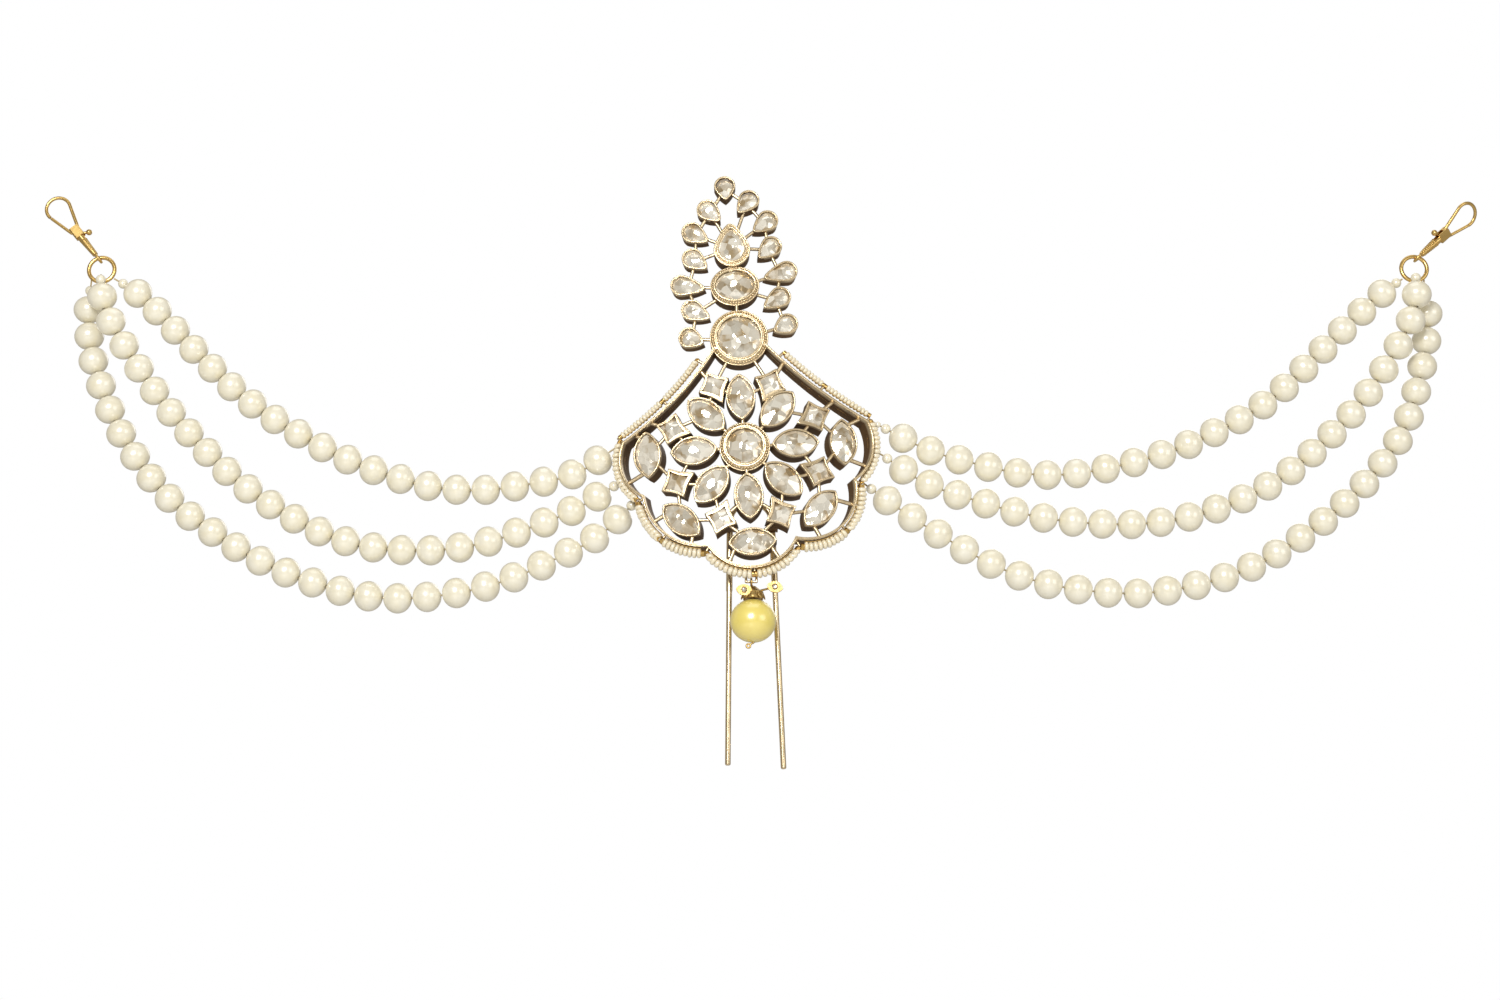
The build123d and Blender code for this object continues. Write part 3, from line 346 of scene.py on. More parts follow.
def wire(points, radius, closed=True, facets=2):
    """Round wire along points in metres, drawn from a circle's own vertices."""
    deselect()
    bpy.ops.mesh.primitive_circle_add(vertices=len(points), radius=MM)
    line = bpy.context.object
    for vertex, point in zip(line.data.vertices, points):
        vertex.co = point
    if not closed:
        bpy.ops.object.mode_set(mode="EDIT")
        bpy.ops.mesh.select_all(action="DESELECT")
        bpy.ops.mesh.select_mode(type="EDGE")
        bpy.ops.object.mode_set(mode="OBJECT")
        last = {0, len(points) - 1}
        for edge in line.data.edges:
            edge.select = set(edge.vertices) == last
        bpy.ops.object.mode_set(mode="EDIT")
        bpy.ops.mesh.delete(type="EDGE")
        bpy.ops.object.mode_set(mode="OBJECT")
    bpy.ops.object.convert(target="CURVE")
    line.data.bevel_depth = radius
    line.data.bevel_resolution = facets
    line.data.use_fill_caps = not closed
    bpy.ops.object.convert(target="MESH")
    return bpy.context.object


def plate_matrix(x, z, turn=0.0, height=0.0):
    """Place over the plate's back behind a point of its front, +Z out of the front, in metres."""
    swing = asin(x / FRONT_RADIUS)
    normal = Vector((sin(swing), -cos(swing), 0))
    across = Vector((cos(swing), sin(swing), 0))
    origin = Vector((0, CURVE_RADIUS, z)) + normal * (CURVE_RADIUS + height)
    up = normal.cross(across)
    turned = Matrix((across, up, normal)).transposed().to_4x4()
    place = Matrix.Translation(origin) @ turned @ Matrix.Rotation(radians(turn), 4, "Z")
    pivot = Matrix.Translation((0, 0, PIVOT_HEIGHT))
    lean = pivot @ Matrix.Rotation(radians(-PLATE_LEAN), 4, "Y") @ pivot.inverted()
    return Matrix.Scale(MM, 4) @ lean @ place


def metric(matrix):
    """A place whose own lengths are already metres."""
    return matrix @ Matrix.Scale(1 / MM, 4)


def plate_point(x, z, height):
    """Point over the plate's back, in metres."""
    return plate_matrix(x, z, 0.0, height).translation


def ring_wire(place, points, radius):
    """Closed wire round an outline that lies at a place."""
    return wire([place @ Vector((a, b, 0)) for a, b in points], radius)


def outline(kind, length, width, count=48):
    """Points of a stone's or cup's outline round the origin, in millimetres."""
    points = []
    if kind == "round":
        for step in range(count):
            angle = 2 * pi * step / count
            points.append((length / 2 * cos(angle), width / 2 * sin(angle)))
    elif kind == "marquise":
        radius = (length ** 2 / 4 + width ** 2 / 4) / width
        half = asin(length / 2 / radius)
        for side in (1, -1):
            for step in range(count // 2):
                angle = half - 2 * half * step / (count // 2)
                rise = radius * cos(angle) - radius + width / 2
                points.append((side * radius * sin(angle), side * rise))
    elif kind == "pear":
        centre = length / 2 - width / 2
        for step in range(count):
            share = step / count
            angle = 2 * pi * share
            x, y = cos(angle), sin(angle)
            if x >= 0:
                points.append((centre + width / 2 * x, width / 2 * y))
            else:
                reach = -x
                taper = 1 - PEAR_TAPER[0] * reach ** 2 - PEAR_TAPER[1] * reach
                tail = (centre + length / 2) * reach ** PEAR_POWER
                points.append((centre - tail, width / 2 * y * taper))
    else:
        tail = length - width
        corners = [(width / 2, 0), (0, width / 2), (-width / 2 - tail, 0), (0, -width / 2)]
        side_count = count // 4
        for start, end in zip(corners, corners[1:] + corners[:1]):
            for step in range(side_count):
                share = step / side_count
                hollow = 1 - SQUARE_HOLLOW * 4 * share * (1 - share)
                points.append(((start[0] + (end[0] - start[0]) * share) * hollow,
                               (start[1] + (end[1] - start[1]) * share) * hollow))
    return points


def flower_cups():
    """The petals, squares and edge stones of the flower as cup rows."""
    rows = []
    for kind, ring, spots, quarter, size in (
            ("marquise", PETAL_RING, PETALS, 0, PETAL_CUP),
            ("square", SQUARE_RING, SQUARES, 0, SQUARE_CUP),
            ("marquise", EDGE_RING, EDGES, 90, EDGE_CUP)):
        for degrees, share in spots:
            angle = radians(degrees)
            across, up = ring * share * cos(angle), ring * share * sin(angle)
            rows.append((kind, across, FLOWER_HEIGHT + up, degrees + quarter, FLOWER_DEPTH, *size))
    return rows


def crest_cups():
    """The thirteen pear shaped cups of the crest as cup rows."""
    rows = [("pear", *TOP_LEAF, LEAF_DEPTH, TOP_LEAF_LENGTH, LEAF_WIDTH)]
    for side in (-1, 1):
        for height, reach, tilt, length in LEAVES:
            rows.append(("pear", CREST_AXIS + side * reach * CREST_HALF_WIDTH,
                         CREST_FOOT + height * CREST_HEIGHT + side * CREST_STEP,
                         tilt if side > 0 else 180 - tilt, LEAF_DEPTH, length, LEAF_WIDTH))
    return rows


def circle_through(start, via, end):
    """Centre and radius of the circle through three points."""
    ax, ay, bx, by, cx, cy = *start, *via, *end
    twice = 2 * (ax * (by - cy) + bx * (cy - ay) + cx * (ay - by))
    a2, b2, c2 = ax * ax + ay * ay, bx * bx + by * by, cx * cx + cy * cy
    x = (a2 * (by - cy) + b2 * (cy - ay) + c2 * (ay - by)) / twice
    y = (a2 * (cx - bx) + b2 * (ax - cx) + c2 * (bx - ax)) / twice
    return (x, y), hypot(ax - x, ay - y)


def circles_meet(first, second, near):
    """The crossing of two circles that lies nearest to a point."""
    (ax, ay), ar = first
    (bx, by), br = second
    apart = hypot(bx - ax, by - ay)
    along = (ar * ar - br * br + apart * apart) / (2 * apart)
    aside = sqrt(max(ar * ar - along * along, 0.0))
    ux, uy = (bx - ax) / apart, (by - ay) / apart
    foot = (ax + along * ux, ay + along * uy)
    options = [(foot[0] - side * aside * uy, foot[1] + side * aside * ux) for side in (-1, 1)]
    return min(options, key=lambda p: hypot(p[0] - near[0], p[1] - near[1]))


def rim_outline():
    """The rim's centre line as arcs (name, start, via, end), down the left and up the right."""
    sides = {}
    for side, sign in (("left", -1), ("right", 1)):
        start = (NECK[0] + sign * NECK[1], PLATE_BOTTOM + PLATE_HEIGHT)
        sides[side] = []
        for name, across, height, via_across, via_height in RIM_ARCS[side]:
            end = (sign * across * PLATE_HALF_WIDTH, PLATE_BOTTOM + height * PLATE_HEIGHT)
            via = (sign * via_across * PLATE_HALF_WIDTH, PLATE_BOTTOM + via_height * PLATE_HEIGHT)
            sides[side].append((name, start, via, end))
            start = end
    left, right = sides["left"], sides["right"]
    bottom = ("bottom lobe", left[-1][3], (0, PLATE_BOTTOM), right[-1][3])
    return left + [bottom] + [(name, b, v, a) for name, a, v, b in reversed(right)]


def offset_outline(amount):
    """The rim's arcs moved outwards by an amount, with their corners worked out again."""
    moved = []
    for name, start, via, end in rim_outline():
        centre, radius = circle_through(start, via, end)
        bend = (via[0] - start[0]) * (end[1] - via[1]) - (via[1] - start[1]) * (end[0] - via[0])
        new_radius = radius + amount if bend > 0 else radius - amount
        moved.append((name, centre, radius, new_radius, start, via, end))

    def shifted(point, centre, radius, new_radius):
        grow = new_radius / radius
        return (centre[0] + (point[0] - centre[0]) * grow,
                centre[1] + (point[1] - centre[1]) * grow)

    corners = [shifted(moved[0][4], *moved[0][1:4])]
    for before, after in zip(moved, moved[1:]):
        corners.append(circles_meet((before[1], before[3]), (after[1], after[3]), after[4]))
    corners.append(shifted(moved[-1][6], *moved[-1][1:4]))
    arcs = []
    for row, start, end in zip(moved, corners, corners[1:]):
        arcs.append((row[0], start, shifted(row[5], *row[1:4]), end))
    return arcs


def arc_point(arc, share):
    """Point at a share of an arc's sweep, and the arc's length."""
    _, start, via, end = arc
    centre, radius = circle_through(start, via, end)
    first = atan2(start[1] - centre[1], start[0] - centre[0])
    middle = atan2(via[1] - centre[1], via[0] - centre[0])
    last = atan2(end[1] - centre[1], end[0] - centre[0])
    sweep = (last - first) % (2 * pi)
    if (middle - first) % (2 * pi) > sweep:
        sweep -= 2 * pi
    angle = first + share * sweep
    return (centre[0] + radius * cos(angle), centre[1] + radius * sin(angle)), radius * abs(sweep)


def seed_rows():
    """The seed rows between their ties, as (arc, from share, to share, radius, kind)."""
    rows = []
    rim = rim_outline()
    for number, (name, *_) in enumerate(rim):
        radius, reach = SEED_ROWS[name]
        arc = offset_outline(reach)[number]
        length = arc_point(arc, 0)[1]
        if name == "slant":
            ties = SLANT_TIES if number == 0 else [1 - tie for tie in reversed(SLANT_TIES)]
        else:
            ties = (0.0, 1.0) if name == "side lobe" else (0.0, 0.5, 1.0)
        for before, after in zip(ties, ties[1:]):
            start = before + (CORNER_KNOT if before == 0.0 else KNOT) / length
            end = after - (CORNER_KNOT if after == 1.0 else KNOT) / length
            rows.append((arc, start, end, radius, name))
    return rows


def border_inner(arc, share, reach):
    """Point of the plate's plane beside a row, towards the plate's middle."""
    here = arc_point(arc, share)[0]
    ahead = arc_point(arc, share + SHARE_STEP)[0]
    along = Vector((ahead[0] - here[0], ahead[1] - here[1])).normalized()
    aside = Vector((-along.y, along.x))
    if aside.dot(Vector((PLATE_MIDDLE[0] - here[0], PLATE_MIDDLE[1] - here[1]))) < 0:
        aside.negate()
    return here[0] + aside.x * reach, here[1] + aside.y * reach


def border_frame(arc, share, height):
    """Place on a row with +Z along it, in metres."""
    here = plate_point(*arc_point(arc, share)[0], height)
    ahead = plate_point(*arc_point(arc, share + SHARE_STEP)[0], height)
    turn = (ahead - here).to_track_quat("Z", "Y")
    return Matrix.Translation(here) @ turn.to_matrix().to_4x4()


def node_group(name, output, kind, **defaults):
    """Empty shader node group: a vector, numbers with their defaults, and one output."""
    group = bpy.data.node_groups.new(name, "ShaderNodeTree")
    group.interface.new_socket("Vector", in_out="INPUT", socket_type="NodeSocketVector")
    for title, default in defaults.items():
        socket = group.interface.new_socket(title, in_out="INPUT", socket_type="NodeSocketFloat")
        socket.default_value = default
    group.interface.new_socket(output, in_out="OUTPUT", socket_type=kind)
    return group, group.nodes.new("NodeGroupInput"), group.nodes.new("NodeGroupOutput")


def plug(tree, value, socket):
    """Link another node's output to a socket, or give the socket its own value."""
    if isinstance(value, bpy.types.NodeSocket):
        tree.links.new(value, socket)
    else:
        socket.default_value = value


def maths(tree, operation, first, second):
    """Result of an operation on two values or outputs of other nodes."""
    node = tree.nodes.new("ShaderNodeMath")
    node.operation = operation
    plug(tree, first, node.inputs[0])
    plug(tree, second, node.inputs[1])
    return node.outputs["Value"]


def squashed_distance(tree, point, weights, centre):
    """Distance of a point, its axes weighted first, from a centre."""
    flat = tree.nodes.new("ShaderNodeVectorMath")
    flat.operation = "MULTIPLY"
    reach = tree.nodes.new("ShaderNodeVectorMath")
    reach.operation = "DISTANCE"
    for node, value, other in ((flat, point, weights), (reach, flat.outputs["Vector"], centre)):
        plug(tree, value, node.inputs[0])
        plug(tree, other, node.inputs[1])
    return reach.outputs["Value"]


def ranged(tree, value, low, high, start=0.0, end=1.0):
    """A value between start and end brought to a range from low to high."""
    spread = tree.nodes.new("ShaderNodeMapRange")
    for title, part in (("Value", value), ("From Min", start), ("From Max", end),
                        ("To Min", low), ("To Max", high)):
        plug(tree, part, spread.inputs[title])
    return spread.outputs["Result"]


def mottle_group():
    """Soft patches: noise drawn out to a mask between two levels."""
    group, source, sink = node_group(
        "Mottle", "Mask", "NodeSocketFloat", Scale=400.0, Low=0.35, High=0.65)
    noise = group.nodes.new("ShaderNodeTexNoise")
    noise.inputs["Detail"].default_value = 3.0
    link = group.links.new
    link(source.outputs["Vector"], noise.inputs["Vector"])
    link(source.outputs["Scale"], noise.inputs["Scale"])
    mask = ranged(group, noise.outputs["Fac"], 0.0, 1.0, source.outputs["Low"],
                  source.outputs["High"])
    link(mask, sink.inputs["Mask"])
    return group


def relief_group():
    """Fine relief: noise as a bump."""
    group, source, sink = node_group(
        "Fine relief", "Normal", "NodeSocketVector", Scale=900.0, Strength=0.2)
    noise = group.nodes.new("ShaderNodeTexNoise")
    noise.inputs["Detail"].default_value = 4.0
    bump = group.nodes.new("ShaderNodeBump")
    bump.inputs["Distance"].default_value = 0.0002
    link = group.links.new
    link(source.outputs["Vector"], noise.inputs["Vector"])
    link(source.outputs["Scale"], noise.inputs["Scale"])
    link(source.outputs["Strength"], bump.inputs["Strength"])
    link(noise.outputs["Fac"], bump.inputs["Height"])
    link(bump.outputs["Normal"], sink.inputs["Normal"])
    return group


def recess_shade_group():
    """How far a wall lies behind the plate's curved front, which sets its painted shade: 0 at the
    front, 1 deep behind.
    """
    group, source, sink = node_group("Recess shade", "Mask", "NodeSocketFloat", **WALL_SHADE_FADE)
    turn = group.nodes.new("ShaderNodeVectorRotate")
    turn.rotation_type = "Y_AXIS"
    turn.inputs["Center"].default_value = (0, 0, PIVOT_HEIGHT * MM)
    turn.inputs["Angle"].default_value = radians(PLATE_LEAN)
    group.links.new(source.outputs["Vector"], turn.inputs["Vector"])
    reach = squashed_distance(group, turn.outputs["Vector"], (1, 1, 0), (0, CURVE_RADIUS * MM, 0))
    behind = maths(group, "SUBTRACT", FRONT_RADIUS * MM, reach)
    mask = ranged(group, behind, 0.0, 1.0, source.outputs["Start"], source.outputs["End"])
    group.links.new(mask, sink.inputs["Mask"])
    return group


def shared(name):
    """A node group of the finishes, made the first time it is asked for."""
    makers = {"Mottle": mottle_group, "Fine relief": relief_group, "Recess shade": recess_shade_group}
    return bpy.data.node_groups.get(name) or makers[name]()


def start_finish(name, **uniform):
    """New material with its shader's plain sockets set, its tree, shader and coordinates."""
    material = bpy.data.materials.new(name)
    material.use_nodes = True
    tree = material.node_tree
    shader = tree.nodes["Principled BSDF"]
    for title, value in uniform.items():
        shader.inputs[title.replace("_", " ")].default_value = value
    return material, tree, shader, tree.nodes.new("ShaderNodeTexCoord")


def add_group(tree, coords, name, **values):
    """A shared node group placed in a material with its own values."""
    node = tree.nodes.new("ShaderNodeGroup")
    node.node_tree = shared(name)
    tree.links.new(coords.outputs["Object"], node.inputs["Vector"])
    for title, value in values.items():
        node.inputs[title].default_value = value
    return node


def mixed(tree, mask, first, second):
    """Colour between two by a mask; each is a colour or another node's output."""
    mix = tree.nodes.new("ShaderNodeMix")
    mix.data_type = "RGBA"
    tree.links.new(mask, mix.inputs["Factor"])
    for title, value in (("A", first), ("B", second)):
        socket = next(s for s in mix.inputs if s.name == title and s.type == "RGBA")
        plug(tree, (*value, 1) if isinstance(value, tuple) else value, socket)
    return next(s for s in mix.outputs if s.type == "RGBA")


def shade(colour, amount):
    """A colour made darker or lighter by a factor."""
    return tuple(min(1.0, part * amount) for part in colour)


def gold_finish(name, colour, roughness, relief, scale):
    """Gilded metal with soft tarnish patches and a worked surface."""
    material, tree, shader, coords = start_finish(name, Metallic=1.0)
    link = tree.links.new
    patches = add_group(tree, coords, "Mottle", Scale=scale, Low=0.30, High=0.72)
    marks = add_group(tree, coords, "Fine relief", Scale=scale * RELIEF_SCALE, Strength=relief)
    mask = patches.outputs["Mask"]
    link(mixed(tree, mask, colour, shade(colour, TARNISH)), shader.inputs["Base Color"])
    link(ranged(tree, mask, roughness, roughness + TARNISH_ROUGHNESS), shader.inputs["Roughness"])
    link(marks.outputs["Normal"], shader.inputs["Normal"])
    return material


def setting_finish(name, colour, recess_shade):
    """Pale antique gold whose walls darken to brown behind the front, as painted shade."""
    material, tree, shader, coords = start_finish(name, Specular_IOR_Level=0.12)
    nodes = tree.nodes
    link = tree.links.new
    patches = add_group(tree, coords, "Mottle", Scale=520.0, Low=0.30, High=0.72)
    marks = add_group(tree, coords, "Fine relief", Scale=1500.0, Strength=0.25)
    depth = add_group(tree, coords, "Recess shade")
    leaf_depth = add_group(tree, coords, "Recess shade", **LEAF_SHADE_FADE)
    facing = nodes.new("ShaderNodeSeparateXYZ")
    link(coords.outputs["Normal"], facing.inputs["Vector"])
    place = nodes.new("ShaderNodeSeparateXYZ")
    link(coords.outputs["Object"], place.inputs["Vector"])
    high = maths(tree, "GREATER_THAN", place.outputs["Z"], LEAF_HEIGHT)
    aside = squashed_distance(tree, coords.outputs["Object"], LEAF_FLATTEN, LEAF_LINE)
    leafy = maths(tree, "MULTIPLY", high, maths(tree, "GREATER_THAN", aside, LEAF_REACH))
    pick = nodes.new("ShaderNodeMix")
    link(leafy, pick.inputs["Factor"])
    link(depth.outputs["Mask"], pick.inputs[2])
    link(leaf_depth.outputs["Mask"], pick.inputs[3])
    # Faces that look to the front or to the back keep the gold, the walls between them get painted
    # shade
    side = ranged(tree, facing.outputs["Y"], 0.0, 1.0, *FRONT_TURN)
    back = ranged(tree, facing.outputs["Y"], 0.0, 1.0, *BACK_TURN)
    wall_shade = maths(tree, "MULTIPLY", pick.outputs[0], maths(tree, "MULTIPLY", side, back))
    pale = mixed(tree, patches.outputs["Mask"], colour, shade(colour, SETTING_TARNISH))
    # Painted shade: the walls take the recess colour, lose their metal and grow rougher
    link(mixed(tree, wall_shade, pale, recess_shade), shader.inputs["Base Color"])
    link(ranged(tree, wall_shade, 1.0, 0.15), shader.inputs["Metallic"])
    link(ranged(tree, wall_shade, 0.30, 0.55), shader.inputs["Roughness"])
    link(marks.outputs["Normal"], shader.inputs["Normal"])
    return material


def stone_finish(name, light, dark):
    """Pale glass over crumpled foil: bright and shaded flakes under a polished face."""
    material, tree, shader, coords = start_finish(
        name, Roughness=0.08, Coat_Weight=1.0, Coat_Roughness=0.03, IOR=1.6)
    nodes = tree.nodes
    link = tree.links.new
    flakes = nodes.new("ShaderNodeTexVoronoi")
    flakes.inputs["Scale"].default_value = 420.0
    flakes.inputs["Randomness"].default_value = 1.0
    link(coords.outputs["Object"], flakes.inputs["Vector"])
    cell = nodes.new("ShaderNodeSeparateColor")
    link(flakes.outputs["Color"], cell.inputs["Color"])
    cloud = add_group(tree, coords, "Mottle", Scale=260.0, Low=0.36, High=0.62)
    blend = maths(tree, "MULTIPLY", cell.outputs["Red"], cloud.outputs["Mask"])
    flecks = mixed(tree, ranged(tree, blend, 0.05, 1.25), light, dark)
    link(flecks, shader.inputs["Base Color"])
    link(ranged(tree, cell.outputs["Green"], 0.25, 0.75), shader.inputs["Metallic"])
    bump = nodes.new("ShaderNodeBump")
    bump.inputs["Strength"].default_value = 0.5
    bump.inputs["Distance"].default_value = 0.0004
    link(flakes.outputs["Distance"], bump.inputs["Height"])
    link(bump.outputs["Normal"], shader.inputs["Normal"])
    return material


def pearl_finish(name, colour, scale, coat):
    """Lustrous pearl: fine cloud of two creams under a clear coat."""
    material, tree, shader, coords = start_finish(
        name, Roughness=0.20, IOR=1.8, Coat_Weight=coat, Coat_IOR=2.1, Coat_Roughness=0.30,
        Sheen_Weight=0.15, Sheen_Roughness=0.4)
    link = tree.links.new
    cloud = add_group(tree, coords, "Mottle", Scale=scale, Low=0.30, High=0.70)
    marks = add_group(tree, coords, "Fine relief", Scale=scale * 3, Strength=0.02)
    warm = tuple(part * warmth for part, warmth in zip(colour, PEARL_WARMTH))
    link(mixed(tree, cloud.outputs["Mask"], colour, warm), shader.inputs["Base Color"])
    link(marks.outputs["Normal"], shader.inputs["Normal"])
    return material


def thread_finish(name, colour):
    """Twisted silk thread."""
    material, tree, shader, coords = start_finish(name, Roughness=0.7, Sheen_Weight=0.4)
    link = tree.links.new
    wave = tree.nodes.new("ShaderNodeTexWave")
    wave.inputs["Scale"].default_value = 900.0
    link(coords.outputs["Object"], wave.inputs["Vector"])
    twist = mixed(tree, wave.outputs["Fac"], colour, shade(colour, SILK_SHADE))
    link(twist, shader.inputs["Base Color"])
    return material


def finish(key):
    """The finish for a kind of piece, made the first time it is asked for."""
    colours = bpy.context.scene.ornament_colours
    gold, wire_gold = tuple(colours.antique_gold), tuple(colours.wire_gold)
    dark = tuple(colours.stone_dark)
    title, maker, *values = {
        # The setting's finish carries the painted shade of its walls
        "setting": ("Antique gold", setting_finish, gold, tuple(colours.recess_shade)),
        "bezel": ("Burnished bezel", gold_finish, shade(gold, 1.06), 0.22, 0.2, 700.0),
        "wire": ("Gold wire", gold_finish, wire_gold, 0.18, 0.10, 220.0),
        "pin": ("Pale pin gold", gold_finish, shade(gold, 0.98), 0.20, 0.10, 260.0),
        "cap": ("Dark gold cap", gold_finish, shade(wire_gold, 0.72), 0.30, 0.5, 800.0),
        "stone": ("Foiled stone", stone_finish, tuple(colours.stone_light), dark),
        "crystal": ("Clear crystal", stone_finish, CRYSTAL_LIGHT, dark),
        "pearl": ("Cream pearl", pearl_finish, tuple(colours.pearl), 260.0, 1.0),
        "seed": ("Ivory seed", pearl_finish, tuple(colours.seed), 420.0, 0.25),
        "yellow": ("Yellow pearl", pearl_finish, tuple(colours.yellow), 200.0, 1.0),
        "thread": ("Silk thread", thread_finish, SILK),
    }[key]
    return bpy.data.materials.get(title) or maker(title, *values)


def dress(names, key):
    """Give a finish to nodes of the frame."""
    for name in names:
        node = NODES[name]
        node.data.materials.clear()
        node.data.materials.append(finish(key))


class ORNAMENT_OT_setting(bpy.types.Operator):
    """Dress the soldered setting and the pin behind it"""

    bl_idname = "ornament.setting"
    bl_label = "Setting and pin"

    def execute(self, context):
        dress(["setting"], "setting")
        dress(["turban_pin"], "pin")
        return {"FINISHED"}


def cut_stone(kind, length, width, turn):
    """Stone with a smooth girdle and flat facets up to a small table, standing on its back."""
    sides, table, edge, top = CUTS[kind]
    deselect()
    points = outline(kind, length, width)
    bpy.ops.mesh.primitive_circle_add(vertices=len(points), radius=MM, fill_type="NGON")
    girdle = bpy.context.object
    for vertex, point in zip(girdle.data.vertices, points):
        vertex.co = (point[0] * MM, point[1] * MM, 0)
    edit_whole(bpy.ops.mesh.extrude_region_move,
               TRANSFORM_OT_translate={"value": (0, 0, BLANK_HEIGHT * MM)})
    edit_whole(bpy.ops.mesh.normals_make_consistent, inside=False)
    rise = (top - edge) / (1 - table)
    deselect()
    bpy.ops.mesh.primitive_cone_add(
        vertices=sides, radius1=FACET_REACH * MM, radius2=table * MM,
        depth=rise * (FACET_REACH - table) * MM, rotation=(0, 0, turn))
    facets = bpy.context.object
    facets.location = (0, 0, (top - rise * (FACET_REACH - table) / 2) * MM)
    facets.scale = (length / 2, width / 2, 1)
    only(facets)
    bpy.ops.object.transform_apply(location=True, rotation=True, scale=True)
    bpy.ops.object.mode_set(mode="EDIT")
    bpy.ops.mesh.select_all(action="DESELECT")
    bpy.ops.object.mode_set(mode="OBJECT")
    low = min(facets.data.polygons, key=lambda face: face.center.z)
    low.select = True
    bpy.ops.object.mode_set(mode="EDIT")
    bpy.ops.mesh.select_mode(type="FACE")
    bpy.ops.mesh.extrude_region_move(TRANSFORM_OT_translate={"value": (0, 0, -FACET_FOOT * MM)})
    bpy.ops.object.mode_set(mode="OBJECT")
    edit_whole(bpy.ops.mesh.normals_make_consistent, inside=False)
    only(girdle)
    trim = girdle.modifiers.new("Facets", "BOOLEAN")
    trim.operation = "INTERSECT"
    trim.object = facets
    bpy.ops.object.modifier_apply(modifier=trim.name)
    bpy.data.objects.remove(facets, do_unlink=True)
    return girdle


def stone_rows():
    """Each stone's node with its cup row and the stone's own length and width."""
    names = ("centre_stone", "crest_stone_1", "crest_stone_2", "crest_stone_3")
    rows = list(zip(names, SPINE_CUPS, SPINE_SEATS))
    flower = [f"{kind}_stone_{number}"
              for kind, spots in (("petal", PETALS), ("square", SQUARES), ("edge", EDGES))
              for number in range(1, len(spots) + 1)]
    leaves = [f"leaf_stone_{number}" for number in range(1, 2 * len(LEAVES) + 2)]
    for names, cups, margin in ((flower, flower_cups(), FLOWER_MARGIN),
                                (leaves, crest_cups(), LEAF_MARGIN)):
        for name, cup in zip(names, cups):
            size = (cup[5] - margin[0], cup[6] - margin[1])
            rows.append((name, cup, SQUARE_STONE if cup[0] == "square" else size))
    return rows


class ORNAMENT_OT_stones(bpy.types.Operator):
    """Cut the stones of the flower and the crest and lay them in their seats"""

    bl_idname = "ornament.stones"
    bl_label = "Stones"

    def execute(self, context):
        for number, (name, cup, size) in enumerate(stone_rows()):
            kind, x, z, turn, depth, _, _ = cup
            spin = pi / 4 if kind == "square" else FACET_SPIN * sin(number * SPIN_STEP)
            stone = cut_stone(kind, *size, spin)
            seat = plate_matrix(x, z, turn, depth - SEAT_DEPTH + SEAT_CLEARANCE)
            stone.matrix_world = metric(seat)
            finish_piece(stone, f"cut_{name}", finish("stone"), "ornament")
            only(stone)
            bpy.ops.object.shade_flat()
            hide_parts(name)
        return {"FINISHED"}


class ORNAMENT_OT_bezels(bpy.types.Operator):
    """Lay a burnished wire round the front of each cup"""

    bl_idname = "ornament.bezels"
    bl_label = "Bezels"

    def execute(self, context):
        radius = context.scene.ornament_sizes.bezel_wire
        for name, rows in (("flower_bezels", flower_cups()), ("crest_bezels", crest_cups())):
            made = []
            for kind, x, z, turn, depth, length, width in rows:
                place = plate_matrix(x, z, turn, depth - BEZEL_SINK)
                ring = outline(kind, length - 2 * BEZEL_INSET, width - 2 * BEZEL_INSET,
                               BEZEL_POINTS)
                made.append(ring_wire(place, ring, radius))
            finish_piece(joined(made), name, finish("bezel"), "ornament")
        return {"FINISHED"}


class ORNAMENT_OT_collars(bpy.types.Operator):
    """Give the four cups of the spine their grained collars"""

    bl_idname = "ornament.collars"
    bl_label = "Grained collars"

    def execute(self, context):
        sizes = context.scene.ornament_sizes
        wires = []
        places = []
        for cup, seat, count in zip(SPINE_CUPS, SPINE_SEATS, SPINE_GRAINS):
            kind, x, z, turn, depth, length, width = cup
            lip = plate_matrix(x, z, turn, depth)
            ring = outline(kind, seat[0] + LIP_GROWTH, seat[1] + LIP_GROWTH, COLLAR_POINTS)
            wires.append(ring_wire(lip, ring, sizes.bezel_wire * LIP_WIRE))
            low = plate_matrix(x, z, turn, depth - GRAIN_SINK[kind])
            grains = outline(kind, length - GRAIN_INSET, width - GRAIN_INSET, count)
            places += [metric(low @ Matrix.Translation((a, b, 0))) for a, b in grains]
            edge = plate_matrix(x, z, turn, depth - BRIM_SINK[kind])
            brim = outline(kind, length, width, COLLAR_POINTS)
            wires.append(ring_wire(edge, brim, sizes.bezel_wire * BRIM_WIRE))
        gold = finish("bezel")
        finish_piece(joined(wires), "collar_wires", gold, "ornament")
        deselect()
        bpy.ops.mesh.primitive_ico_sphere_add(subdivisions=2, radius=sizes.grain)
        grains = copies(places)
        finish_piece(grains, "collar_grains", gold, "ornament")
        return {"FINISHED"}


class ORNAMENT_OT_rim(bpy.types.Operator):
    """Round the front edge of the rim with a wire"""

    bl_idname = "ornament.rim"
    bl_label = "Rim edge"

    def execute(self, context):
        points = []
        for arc in rim_outline():
            points += [arc_point(arc, step / RIM_STEPS)[0] for step in range(RIM_STEPS)]
        points.append(rim_outline()[-1][3])
        line = [plate_point(x, z, RIM_DEPTH - RIM_SINK) for x, z in points]
        edge = wire(line, RIM_WIRE * MM, closed=False)
        finish_piece(edge, "rim_edge", finish("bezel"), "ornament")
        return {"FINISHED"}


